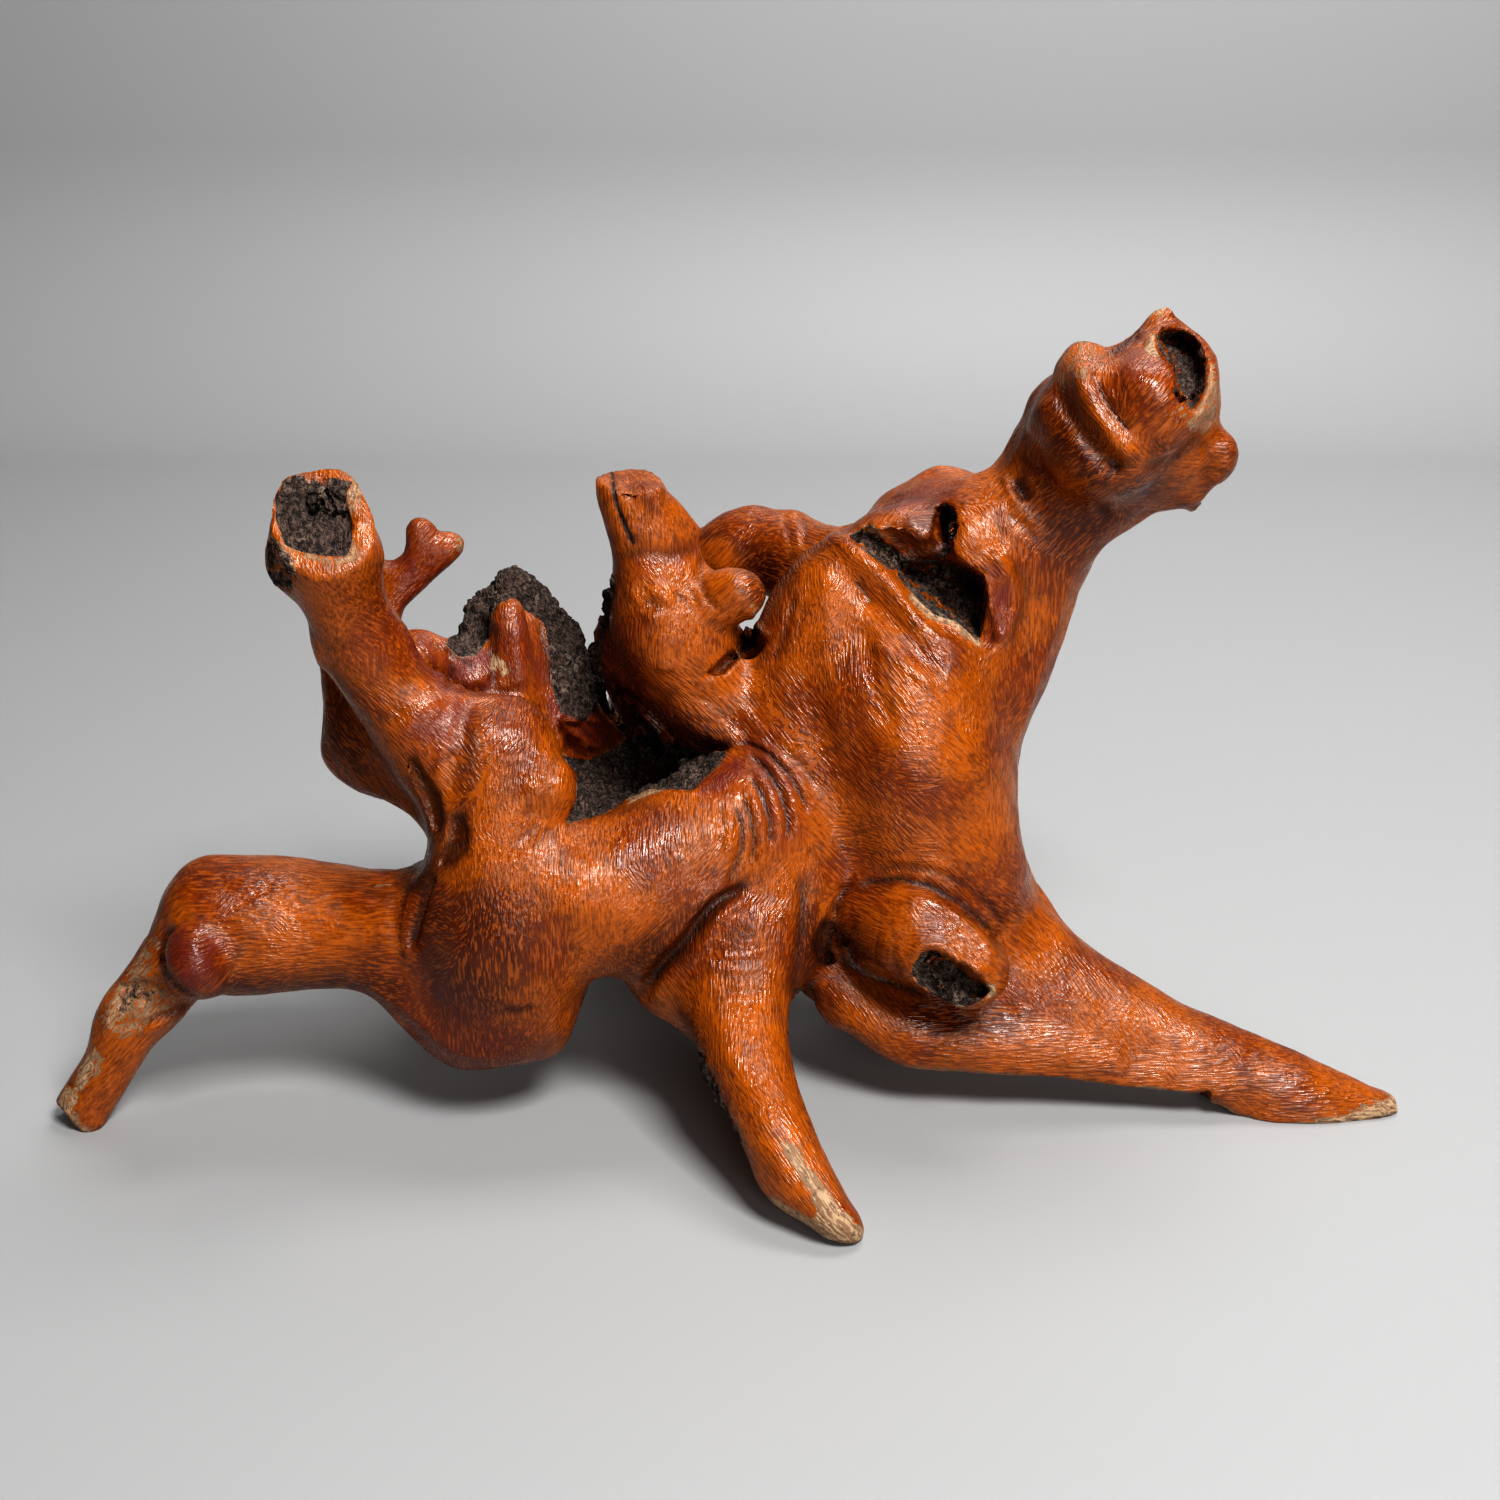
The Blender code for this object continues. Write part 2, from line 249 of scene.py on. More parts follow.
# Outline of the root in the photo, clockwise, in pixels.
outlines = dict(
    armLeft=[
        (311, 640), (308, 620), (302, 608), (290, 597), (275, 585), (267, 575), (265, 562), (267, 545),
        (271, 520), (274, 500), (280, 485), (288, 474), (300, 474), (313, 473), (325, 469), (337, 468),
        (348, 471),
    ],
    armRight=[
        (348, 471), (358, 482), (362, 495), (368, 505), (374, 515), (375, 530), (377, 545), (380, 560),
        (384, 580), (389, 597), (396, 612), (402, 622),
    ],
    twig=[
        (384, 538), (391, 545), (397, 552), (403, 553), (407, 550), (408, 540), (407, 527), (410, 519),
        (418, 516), (427, 518), (434, 523), (437, 531), (442, 532), (448, 528), (455, 531), (462, 536),
        (467, 545), (460, 555), (448, 567), (435, 578), (424, 590), (413, 602), (405, 615), (402, 622),
    ],
    ridge=[(402, 622), (410, 629), (420, 626), (430, 630), (441, 637), (448, 640), (451, 641)],
    peak=[
        (451, 641), (456, 628), (462, 612), (470, 597), (478, 591), (490, 586), (496, 577), (500, 568),
        (510, 564), (518, 567), (528, 574), (540, 580), (546, 588), (554, 598), (563, 607), (572, 615),
        (580, 628), (584, 640), (587, 650),
    ],
    stubLeft=[
        (587, 650), (592, 643), (598, 632), (603, 622), (605, 610), (602, 603), (605, 590), (611, 576),
        (614, 566), (612, 552), (608, 535), (603, 517), (598, 503), (594, 490), (595, 481), (602, 474),
        (613, 471), (630, 469), (648, 470),
    ],
    stubRight=[(648, 470), (657, 476), (666, 489), (680, 503), (692, 516), (700, 527)],
    arch=[
        (702, 528), (711, 520), (724, 511), (738, 507), (755, 504), (766, 506), (776, 510), (790, 509),
        (803, 509), (807, 516), (815, 520), (824, 525), (835, 530),
    ],
    shoulder=[
        (835, 530), (850, 522), (862, 519), (870, 509), (884, 492), (896, 486), (904, 484), (920, 473),
        (933, 465), (945, 464), (957, 467), (966, 473), (972, 478), (982, 477), (987, 470), (995, 462),
        (1001, 455), (1008, 440), (1017, 425), (1024, 413), (1026, 400), (1031, 392),
    ],
    headTop=[
        (1031, 392), (1041, 383), (1050, 374), (1053, 366), (1063, 355), (1072, 343), (1081, 340),
        (1094, 341), (1102, 348), (1112, 349), (1122, 343), (1133, 334), (1142, 325), (1148, 315),
        (1157, 305), (1164, 304), (1168, 311), (1178, 315), (1187, 322), (1195, 333), (1205, 340),
    ],
    headRight=[
        (1205, 340), (1212, 352), (1217, 365), (1219, 385), (1222, 405), (1222, 425), (1225, 433),
        (1232, 435), (1236, 442), (1236, 460), (1231, 473), (1221, 485), (1214, 490), (1207, 493),
        (1203, 500), (1197, 510), (1190, 513), (1184, 508),
    ],
    neck=[
        (1184, 508), (1165, 511), (1150, 516), (1135, 526), (1120, 535), (1105, 547), (1097, 556),
        (1089, 573), (1080, 590), (1076, 605), (1068, 627), (1062, 645), (1052, 672), (1045, 690),
        (1038, 706), (1029, 724), (1022, 742), (1018, 770), (1018, 800), (1020, 830), (1025, 855),
        (1035, 876),
    ],
    rightLegTop=[
        (1035, 876), (1047, 897), (1060, 917), (1073, 932), (1100, 953), (1140, 978), (1177, 1000),
        (1220, 1018), (1260, 1035), (1300, 1052), (1340, 1071), (1370, 1085), (1390, 1094), (1399, 1104),
    ],
    rightLegBottom=[
        (1399, 1104), (1396, 1113), (1380, 1118), (1350, 1125), (1310, 1128), (1265, 1128), (1240, 1116),
        (1215, 1103), (1195, 1093), (1150, 1089), (1100, 1084), (1050, 1077), (1000, 1075), (950, 1071),
        (905, 1068), (880, 1057), (865, 1045), (850, 1033), (843, 1028), (836, 1030), (825, 1022),
        (820, 1013), (820, 1003), (812, 993), (805, 986),
    ],
    frontLegRight=[
        (790, 1000), (789, 1020), (790, 1045), (795, 1075), (803, 1100), (820, 1145), (835, 1175),
        (850, 1202), (862, 1223), (870, 1237),
    ],
    frontLegLeft=[
        (870, 1237), (866, 1242), (845, 1243), (825, 1237), (805, 1223), (785, 1213), (768, 1200),
        (757, 1185), (750, 1165), (744, 1145), (733, 1130), (725, 1115), (715, 1095), (703, 1076),
        (695, 1060), (700, 1053), (698, 1045), (690, 1037), (670, 1025), (650, 1013), (640, 1004),
        (635, 999),
    ],
    saddleUnder=[
        (635, 999), (630, 990), (624, 981), (612, 977), (600, 978), (590, 985), (583, 1000), (580, 1015),
        (570, 1040), (556, 1056),
    ],
    bulgeUnder=[
        (556, 1056), (530, 1062), (500, 1067), (465, 1070), (445, 1065), (425, 1050), (405, 1033),
        (385, 1010), (370, 997), (350, 990),
    ],
    leftLegUnder=[(350, 990), (325, 989), (300, 991), (260, 994), (230, 996), (200, 998)],
    shinRight=[
        (200, 998), (195, 1004), (187, 1013), (175, 1027), (160, 1040), (150, 1052), (140, 1070),
        (127, 1090), (112, 1112), (100, 1130), (95, 1138), (90, 1139),
    ],
    shinLeft=[
        (90, 1139), (74, 1122), (57, 1103), (56, 1099), (68, 1080), (85, 1055), (91, 1035), (93, 1020),
        (99, 1006), (108, 990), (120, 975), (135, 955), (146, 938), (153, 920), (158, 905),
    ],
    leftLegTop=[
        (158, 905), (165, 890), (175, 875), (188, 863), (200, 856), (225, 854), (270, 854), (300, 857),
        (340, 863), (370, 869), (395, 873), (405, 870), (412, 862), (425, 860), (430, 855),
    ],
    lobe=[
        (430, 855), (430, 848), (425, 835), (415, 820), (405, 807), (398, 802), (380, 800), (360, 793),
        (340, 780), (325, 765), (318, 750), (321, 735), (323, 710), (321, 680), (318, 665), (312, 650),
        (311, 640),
    ],
)

# Places where the wood is eaten away or planed: pixels round the place, mm away from the viewer
# (minus: towards the viewer), soft edge in pixels.
hollows = dict(
    eyeBowl=dict(
        outline=[
            (893, 570), (918, 558), (941, 553), (943, 566), (965, 566), (983, 574), (989, 598), (983, 627),
            (979, 642), (956, 621), (933, 614), (914, 595), (903, 579),
        ],
        deep=16, soft=7,
    ),
    eyeDark=dict(
        outline=[
            (902, 560), (925, 563), (945, 556), (965, 563), (981, 576), (986, 592), (975, 606), (962, 590),
            (945, 580), (925, 576), (905, 574),
        ],
        deep=20, soft=6,
    ),
    eyeStrip=dict(
        outline=[
            (846, 536), (862, 530), (880, 540), (900, 553), (905, 568), (893, 575), (872, 558), (855, 548),
        ],
        deep=4, soft=5,
    ),
    eyeSlit=dict(
        outline=[
            (936, 508), (944, 502), (954, 508), (958, 522), (956, 534), (949, 543), (942, 545), (939, 530),
        ],
        deep=22, soft=4,
    ),
    eyeSmall=dict(
        outline=[(862, 527), (868, 524), (877, 531), (884, 541), (878, 542), (868, 537)],
        deep=8, soft=3,
    ),
    headHole=dict(
        outline=[
            (1154, 333), (1165, 330), (1180, 330), (1192, 335), (1203, 345), (1206, 365), (1205, 385),
            (1199, 400), (1192, 414), (1186, 405), (1176, 400), (1173, 392), (1174, 375), (1168, 362),
            (1158, 350), (1154, 341),
        ],
        deep=11, soft=6,
    ),
    headDark=dict(
        outline=[(1157, 336), (1170, 333), (1188, 338), (1191, 346), (1178, 348), (1160, 345)],
        deep=9, soft=4,
    ),
    knobHole=dict(
        outline=[
            (922, 955), (930, 950), (942, 953), (957, 964), (970, 976), (985, 983), (990, 990), (984, 999),
            (968, 1005), (952, 1003), (935, 995), (918, 983), (912, 974), (915, 963),
        ],
        deep=6.5, soft=6,
    ),
    basinDark=dict(
        outline=[
            (585, 690), (612, 668), (640, 690), (665, 715), (700, 735), (735, 746), (728, 752), (705, 760),
            (690, 765), (672, 762), (640, 745), (622, 735), (600, 715),
        ],
        deep=24, soft=10,
    ),
    basin=dict(
        outline=[
            (563, 722), (590, 715), (622, 728), (650, 745), (690, 752), (708, 758), (705, 775), (690, 790),
            (640, 792), (622, 805), (600, 815), (565, 822), (578, 795), (575, 770), (560, 752),
        ],
        deep=7, soft=8,
    ),
    stubPit=dict(
        outline=[
            (742, 628), (752, 620), (760, 632), (758, 645), (748, 652), (735, 664), (722, 676), (708, 677),
            (703, 673), (715, 662), (733, 647),
        ],
        deep=12, soft=4,
    ),
    slitLeft=dict(
        outline=[
            (406, 757), (414, 757), (430, 777), (441, 795), (446, 820), (440, 838), (432, 830), (424, 805),
            (414, 782),
        ],
        deep=6, soft=5,
    ),
    notchLeft=dict(
        outline=[
            (450, 815), (462, 812), (470, 830), (470, 850), (455, 865), (440, 872), (436, 860), (446, 840),
        ],
        deep=4, soft=5,
    ),
    knobCleft=dict(
        outline=[
            (812, 940), (818, 925), (828, 915), (834, 930), (832, 950), (838, 962), (826, 968), (816, 960),
        ],
        deep=8, soft=4,
    ),
    brokenPiece=dict(
        outline=[
            (556, 720), (566, 711), (585, 713), (600, 714), (616, 720), (625, 735), (612, 744), (600, 754),
            (585, 756), (572, 744), (562, 733),
        ],
        deep=-10, soft=8,
    ),
    basinFibres=dict(
        outline=[
            (604, 748), (625, 742), (650, 752), (690, 756), (700, 775), (690, 788), (650, 786), (625, 792),
            (608, 772),
        ],
        deep=-5, soft=8,
    ),
    shinRot=dict(
        outline=[
            (118, 985), (135, 975), (158, 982), (168, 995), (160, 1008), (140, 1018), (125, 1030),
            (108, 1030), (112, 1005),
        ],
        deep=3, soft=6,
    ),
)

# Folds, ridges and wrinkles: pixels along each, half width in pixels, mm deep (minus: raised).
strokes = dict(
    stubBelly=dict(path=[(640, 640), (655, 650)], wide=42, deep=-5),
    knobBall=dict(path=[(728, 576), (732, 580)], wide=18, deep=-2.5),
    bulgeNose=dict(path=[(560, 880), (575, 900)], wide=34, deep=-4),
    trunkCheek=dict(path=[(900, 760), (950, 770)], wide=40, deep=-3),
    armLine=dict(path=[(442, 704), (427, 725), (414, 748)], wide=2.5, deep=-0.9),
    armCurve=dict(path=[(462, 745), (443, 757), (434, 771)], wide=3, deep=-0.9),
    armCurveDark=dict(path=[(455, 750), (437, 764), (428, 775)], wide=3, deep=1.0),
    armPlane=dict(path=[(402, 740), (415, 715), (440, 697), (470, 690)], wide=8, deep=-1.4),
    ringA=dict(path=[(506, 758), (518, 753), (533, 754), (545, 760)], wide=3, deep=0.5),
    ringB=dict(path=[(502, 770), (518, 765), (536, 767), (550, 775)], wide=3, deep=0.5),
    ringC=dict(path=[(498, 783), (516, 778), (538, 780), (553, 790)], wide=3, deep=0.5),
    ringD=dict(path=[(508, 746), (520, 742), (532, 744)], wide=3, deep=0.4),
    knobBase=dict(path=[(556, 752), (553, 775), (545, 800), (540, 815)], wide=5, deep=0.8),
    bulgeScarA=dict(path=[(520, 817), (535, 812), (548, 818)], wide=2.5, deep=0.9),
    bulgeScarB=dict(path=[(512, 843), (525, 836), (541, 820)], wide=3, deep=0.9),
    bulgeScarC=dict(path=[(530, 850), (543, 838), (552, 826)], wide=3, deep=0.8),
    bulgeLeft=dict(path=[(470, 700), (462, 730), (455, 760), (450, 800)], wide=9, deep=1.6),
    bulgeSlitKnot=dict(path=[(503, 1010), (515, 1012), (528, 1010), (535, 1006)], wide=3.5, deep=1.6),
    bulgeKnotLip=dict(path=[(503, 1004), (515, 1002), (528, 1003)], wide=4, deep=-1.2),
    leftFold=dict(path=[(434, 873), (424, 895), (416, 925), (410, 953)], wide=4, deep=3.5),
    leftFoldLip=dict(path=[(424, 868), (412, 893), (403, 925), (408, 965)], wide=4, deep=-1.4),
    saddleRimA=dict(path=[(632, 798), (650, 790), (680, 793), (700, 796)], wide=4, deep=-1.0),
    saddleDip=dict(path=[(560, 822), (590, 818), (625, 806), (650, 800)], wide=6, deep=0.8),
    saddleArcA=dict(path=[(650, 800), (664, 835), (668, 870)], wide=4, deep=0.35),
    saddleArcB=dict(path=[(668, 800), (680, 830), (684, 860)], wide=4, deep=0.35),
    saddleArcC=dict(path=[(688, 802), (700, 830), (703, 860)], wide=4, deep=0.4),
    saddleArcD=dict(path=[(706, 800), (716, 830), (718, 856)], wide=4, deep=0.4),
    foldA=dict(
        path=[(733, 746), (748, 742), (768, 752), (790, 775), (803, 800), (808, 815)],
        wide=3, deep=2.3,
    ),
    foldAlip=dict(path=[(745, 737), (765, 746), (785, 762), (800, 783), (812, 806)], wide=3, deep=-1.5),
    foldB=dict(path=[(748, 753), (765, 767), (780, 790), (788, 818), (788, 842)], wide=3.5, deep=2.6),
    foldBlip=dict(path=[(756, 752), (776, 768), (790, 792), (797, 820), (797, 850)], wide=3, deep=-1.5),
    foldC=dict(path=[(750, 775), (762, 795), (770, 820), (771, 848)], wide=3.5, deep=2.4),
    foldClip=dict(path=[(757, 770), (771, 792), (779, 818), (780, 850)], wide=3, deep=-1.4),
    foldD=dict(path=[(742, 795), (750, 815), (754, 840), (752, 865)], wide=3.5, deep=2.2),
    foldDlip=dict(path=[(749, 792), (758, 812), (763, 838), (762, 868)], wide=3, deep=-1.8),
    foldE=dict(path=[(735, 806), (742, 826), (742, 848), (735, 868), (728, 884)], wide=3.5, deep=2.3),
    foldElip=dict(path=[(728, 812), (730, 835), (728, 858)], wide=3.5, deep=-1.4),
    foldF=dict(path=[(722, 800), (724, 825), (721, 850)], wide=3, deep=1.2),
    trunkFold=dict(path=[(760, 735), (785, 750), (805, 770), (820, 790)], wide=5, deep=0.9),
    creaseDeep=dict(
        path=[
            (747, 880), (738, 892), (722, 899), (708, 912), (695, 930), (682, 948), (667, 962), (652, 978),
            (640, 1000),
        ],
        wide=6, deep=6.5,
    ),
    creaseUpper=dict(path=[(730, 870), (722, 885), (700, 905), (680, 930), (655, 955)], wide=5, deep=-1.2),
    creaseLower=dict(path=[(752, 892), (738, 905), (715, 925), (702, 950), (680, 972)], wide=4, deep=-1.2),
    swirlA=dict(
        path=[(728, 918), (735, 911), (746, 912), (752, 921), (747, 931), (736, 933), (729, 927)],
        wide=2.5, deep=0.9,
    ),
    swirlB=dict(path=[(736, 922), (743, 919), (746, 925), (741, 929)], wide=2.5, deep=-0.9),
    swirlC=dict(path=[(716, 930), (728, 938), (742, 940), (756, 934)], wide=2.5, deep=0.8),
    legRingA=dict(path=[(706, 945), (722, 950), (742, 950), (762, 945)], wide=2.5, deep=0.8),
    legRingB=dict(path=[(710, 958), (728, 962), (750, 962), (768, 958)], wide=2.5, deep=0.6),
    legRingC=dict(path=[(716, 975), (738, 978), (762, 975)], wide=2.5, deep=0.6),
    legRingD=dict(path=[(722, 990), (742, 993), (764, 990)], wide=2.5, deep=0.7),
    legRingE=dict(path=[(730, 1001), (748, 1003), (762, 1001)], wide=2, deep=0.5),
    legTrunkCrease=dict(
        path=[(800, 870), (803, 900), (800, 940), (795, 975), (790, 1000)],
        wide=6, deep=2.0,
    ),
    knobTop=dict(
        path=[(850, 893), (870, 882), (900, 879), (930, 886), (960, 902), (985, 925), (1003, 952)],
        wide=5, deep=3.0,
    ),
    knobTopB=dict(
        path=[(868, 873), (895, 867), (930, 870), (965, 885), (992, 908), (1010, 935)],
        wide=4, deep=1.6,
    ),
    knobTopLip=dict(path=[(900, 897), (930, 903), (958, 918), (980, 938), (998, 965)], wide=6, deep=-2.2),
    knobSide=dict(
        path=[(855, 880), (842, 895), (836, 910), (833, 925), (838, 940), (850, 955), (862, 965)],
        wide=4.5, deep=4.5,
    ),
    knobUnder=dict(path=[(838, 952), (850, 965), (875, 978), (905, 988), (925, 995)], wide=5, deep=3.0),
    knobPleatA=dict(path=[(898, 935), (893, 950), (895, 970), (903, 985)], wide=3, deep=0.8),
    knobPleatB=dict(path=[(880, 928), (874, 948), (878, 968)], wide=3, deep=0.6),
    knobPleatC=dict(path=[(842, 930), (852, 948), (866, 960)], wide=2.5, deep=1.4),
    knobRim=dict(
        path=[(908, 958), (920, 945), (938, 945), (955, 955), (972, 967), (992, 975)],
        wide=4, deep=-2.4,
    ),
    knobRimLow=dict(
        path=[(912, 985), (935, 1002), (955, 1011), (980, 1008), (996, 990)],
        wide=4, deep=-1.0,
    ),
    hairA=dict(path=[(868, 856), (905, 850), (945, 856), (985, 875)], wide=4, deep=0.5),
    hairB=dict(path=[(1012, 905), (1022, 925), (1035, 948)], wide=4, deep=0.5),
    stubCrack=dict(path=[(612, 472), (613, 490), (617, 507), (625, 528), (636, 545)], wide=1.8, deep=2.0),
    stubFacet=dict(path=[(622, 478), (632, 500), (648, 530)], wide=12, deep=1.6),
    stubFacetEdge=dict(path=[(642, 478), (652, 500), (672, 525)], wide=3, deep=-0.7),
    stubNeck=dict(path=[(613, 560), (640, 552), (670, 556), (700, 548)], wide=7, deep=1.4),
    wartLeft=dict(path=[(634, 592), (640, 597)], wide=6, deep=-2.2),
    wartTop=dict(path=[(650, 588), (662, 594), (672, 604)], wide=6, deep=-2.2),
    wartLow=dict(path=[(648, 616), (660, 618), (668, 612)], wide=7, deep=-2.4),
    wartDimple=dict(path=[(652, 603), (658, 607)], wide=5, deep=1.2),
    wartSide=dict(path=[(672, 590), (684, 600), (692, 612)], wide=2.5, deep=1.1),
    wartSideB=dict(path=[(680, 580), (692, 592), (700, 606)], wide=2.5, deep=0.9),
    stubBump=dict(path=[(664, 663), (672, 664)], wide=4, deep=-1.6),
    stubGroove=dict(path=[(612, 640), (630, 665), (650, 690), (672, 706)], wide=8, deep=1.6),
    knobNeck=dict(path=[(702, 556), (700, 580), (708, 600), (722, 612)], wide=4, deep=1.4),
    pinHole=dict(path=[(741, 590), (742, 591)], wide=3, deep=1.5),
    stubToTrunk=dict(path=[(703, 678), (725, 690), (745, 712), (770, 745)], wide=4, deep=-1.0),
    stubToTrunkDip=dict(path=[(690, 695), (710, 700), (735, 725), (755, 740)], wide=4, deep=0.9),
    flankLip=dict(path=[(750, 605), (752, 622), (765, 635), (778, 632)], wide=4, deep=-1.2),
    flankGrooveA=dict(path=[(795, 590), (790, 615), (782, 640), (772, 665)], wide=4, deep=1.2),
    flankGrooveB=dict(path=[(806, 600), (800, 625), (795, 645)], wide=3, deep=0.8),
    flankGrooveC=dict(path=[(786, 612), (778, 636), (765, 655)], wide=3, deep=-0.8),
    archGroove=dict(path=[(800, 512), (806, 530), (803, 548)], wide=4, deep=1.0),
    archDip=dict(path=[(783, 512), (790, 535), (792, 560)], wide=4, deep=0.8),
    ridgeMain=dict(
        path=[
            (812, 537), (830, 536), (852, 552), (875, 570), (900, 590), (925, 608), (950, 622), (972, 638),
        ],
        wide=9, deep=-3.0,
    ),
    ridgeUnder=dict(path=[(835, 565), (860, 590), (890, 620), (920, 650), (945, 680)], wide=10, deep=3.0),
    ridgeSmall=dict(path=[(855, 580), (866, 595), (872, 605)], wide=4, deep=1.9),
    ridgeFold=dict(path=[(868, 640), (890, 655), (915, 672), (935, 690)], wide=6, deep=-1.6),
    trunkValley=dict(path=[(862, 620), (868, 660), (880, 700), (895, 735)], wide=10, deep=1.5),
    trunkRidge=dict(path=[(828, 560), (826, 610), (828, 660), (838, 710), (850, 750)], wide=12, deep=-1.6),
    eyeLipRight=dict(
        path=[(985, 552), (1001, 563), (1010, 582), (1012, 605), (1006, 630), (992, 645)],
        wide=8, deep=-3.5,
    ),
    eyeLipCreaseR=dict(path=[(1015, 560), (1026, 585), (1024, 615), (1012, 640)], wide=5, deep=1.2),
    eyeLobe=dict(path=[(965, 515), (970, 535), (975, 552)], wide=12, deep=-2.0),
    eyeLobeSide=dict(path=[(995, 510), (1000, 530), (1004, 550)], wide=4, deep=0.8),
    columnRight=dict(path=[(905, 520), (920, 535), (932, 550)], wide=9, deep=-2.0),
    columnLeft=dict(path=[(885, 522), (895, 538), (905, 550)], wide=5, deep=1.0),
    browA=dict(path=[(875, 512), (900, 500), (930, 497), (960, 490)], wide=4, deep=0.9),
    browB=dict(path=[(890, 500), (920, 487), (950, 480), (975, 484)], wide=4, deep=-0.9),
    neckCreaseA=dict(path=[(1003, 510), (1015, 520), (1028, 530), (1038, 545)], wide=3, deep=1.0),
    neckCreaseB=dict(path=[(1010, 500), (1024, 512), (1036, 525)], wide=3, deep=-0.7),
    neckCreaseC=dict(path=[(1000, 528), (1015, 545), (1025, 560)], wide=3, deep=0.7),
    neckKnot=dict(path=[(1013, 480), (1020, 490), (1028, 500)], wide=5, deep=2.4),
    neckKnotRim=dict(path=[(1005, 475), (1010, 492), (1020, 506)], wide=4, deep=-1.6),
    neckKnotRimB=dict(path=[(1022, 470), (1034, 482), (1040, 496)], wide=4, deep=-1.4),
    neckLow=dict(path=[(1100, 510), (1106, 514)], wide=5, deep=1.6),
    headKnot=dict(path=[(1150, 452), (1158, 447)], wide=5, deep=1.0),
    neckPit=dict(path=[(1106, 458), (1116, 466), (1122, 470)], wide=5, deep=2.0),
    headBand=dict(
        path=[(1080, 360), (1083, 384), (1095, 410), (1115, 438), (1138, 460)],
        wide=10, deep=-4.1,
    ),
    headValley=dict(
        path=[(1052, 385), (1066, 412), (1085, 438), (1105, 460), (1125, 475)],
        wide=9, deep=3.2,
    ),
    headCrack=dict(
        path=[(1096, 378), (1102, 395), (1113, 412), (1124, 425), (1130, 434)],
        wide=2.2, deep=2.7,
    ),
    headCrackB=dict(path=[(1100, 390), (1112, 402), (1126, 416)], wide=2, deep=0.9),
    headGroove=dict(path=[(1104, 356), (1118, 350), (1130, 340), (1142, 332)], wide=5, deep=2.4),
    headFront=dict(path=[(1120, 380), (1150, 385), (1165, 410)], wide=16, deep=-2.0),
    headUnder=dict(path=[(1140, 468), (1165, 462), (1190, 450), (1200, 440)], wide=6, deep=1.2),
    headScratch=dict(path=[(1156, 398), (1164, 408), (1170, 418)], wide=2, deep=-0.5),
    headRim=dict(path=[(1152, 352), (1150, 338), (1160, 328), (1180, 326)], wide=4, deep=-1.4),
    headRimRight=dict(path=[(1210, 350), (1213, 375), (1212, 400), (1205, 420)], wide=5, deep=-1.6),
    bumpRight=dict(path=[(1224, 440), (1230, 455), (1222, 472)], wide=7, deep=-1.6),
    bumpBase=dict(path=[(1205, 440), (1210, 460), (1200, 480)], wide=5, deep=1.2),
    heelCrease=dict(
        path=[(205, 998), (190, 995), (175, 985), (164, 970), (160, 952), (165, 935), (178, 923)],
        wide=3.5, deep=2.2,
    ),
    heelDome=dict(path=[(192, 945), (195, 965)], wide=22, deep=-3.0),
    heelTop=dict(path=[(178, 922), (192, 916), (208, 918)], wide=4, deep=0.8),
    shinTear=dict(path=[(192, 1003), (172, 1013), (155, 1018), (136, 1028)], wide=3, deep=2.2),
    shinTearLip=dict(path=[(186, 1010), (165, 1022), (142, 1034)], wide=4, deep=-1.4),
    shinTearB=dict(path=[(118, 986), (128, 988), (136, 984)], wide=2.5, deep=1.6),
    shinTearC=dict(path=[(128, 997), (140, 999), (152, 995)], wide=2.5, deep=1.8),
    shinPleat=dict(path=[(150, 935), (135, 960), (118, 985)], wide=3, deep=-0.9),
    shinSaw=dict(path=[(68, 1083), (80, 1092)], wide=1.8, deep=1.0),
    legBulgeDip=dict(path=[(400, 880), (395, 920), (398, 960), (405, 985)], wide=8, deep=1.5),
    tongueRidge=dict(path=[(520, 690), (518, 655), (514, 622)], wide=9, deep=-2.0),
    tongueSide=dict(path=[(494, 690), (492, 655), (492, 620)], wide=4, deep=2.0),
    tongueSideR=dict(path=[(552, 690), (548, 655), (538, 620)], wide=4, deep=2.0),
    purpleRidgeA=dict(path=[(408, 632), (425, 650), (440, 668), (445, 690)], wide=5, deep=-1.4),
    purpleRidgeB=dict(path=[(430, 640), (455, 655), (475, 668)], wide=4, deep=1.6),
    purpleRidgeC=dict(path=[(447, 690), (452, 670), (450, 650)], wide=3, deep=1.8),
    purpleRidgeD=dict(path=[(455, 685), (478, 680), (495, 668)], wide=4, deep=-1.4),
    brokenA=dict(path=[(562, 722), (580, 727), (600, 745)], wide=2, deep=1.6),
    brokenB=dict(path=[(566, 716), (588, 722), (606, 738)], wide=2, deep=1.3),
    brokenC=dict(path=[(570, 738), (585, 744), (594, 752)], wide=2, deep=1.5),
    armDark=dict(path=[(296, 520), (318, 508), (340, 515)], wide=5, deep=1.5),
    armCrackA=dict(path=[(290, 500), (312, 496), (338, 484)], wide=2.5, deep=1.5),
    armCrackB=dict(path=[(300, 545), (318, 530), (345, 538)], wide=2.5, deep=1.3),
    collar=dict(path=[(450, 700), (490, 697), (530, 700), (552, 706)], wide=4, deep=-1.0),
    collarDip=dict(path=[(452, 692), (490, 690), (525, 693)], wide=3, deep=1.0),
)


def selectOnly(piece):
    bpy.ops.object.select_all(action="DESELECT")
    piece.select_set(True)
    bpy.context.view_layer.objects.active = piece


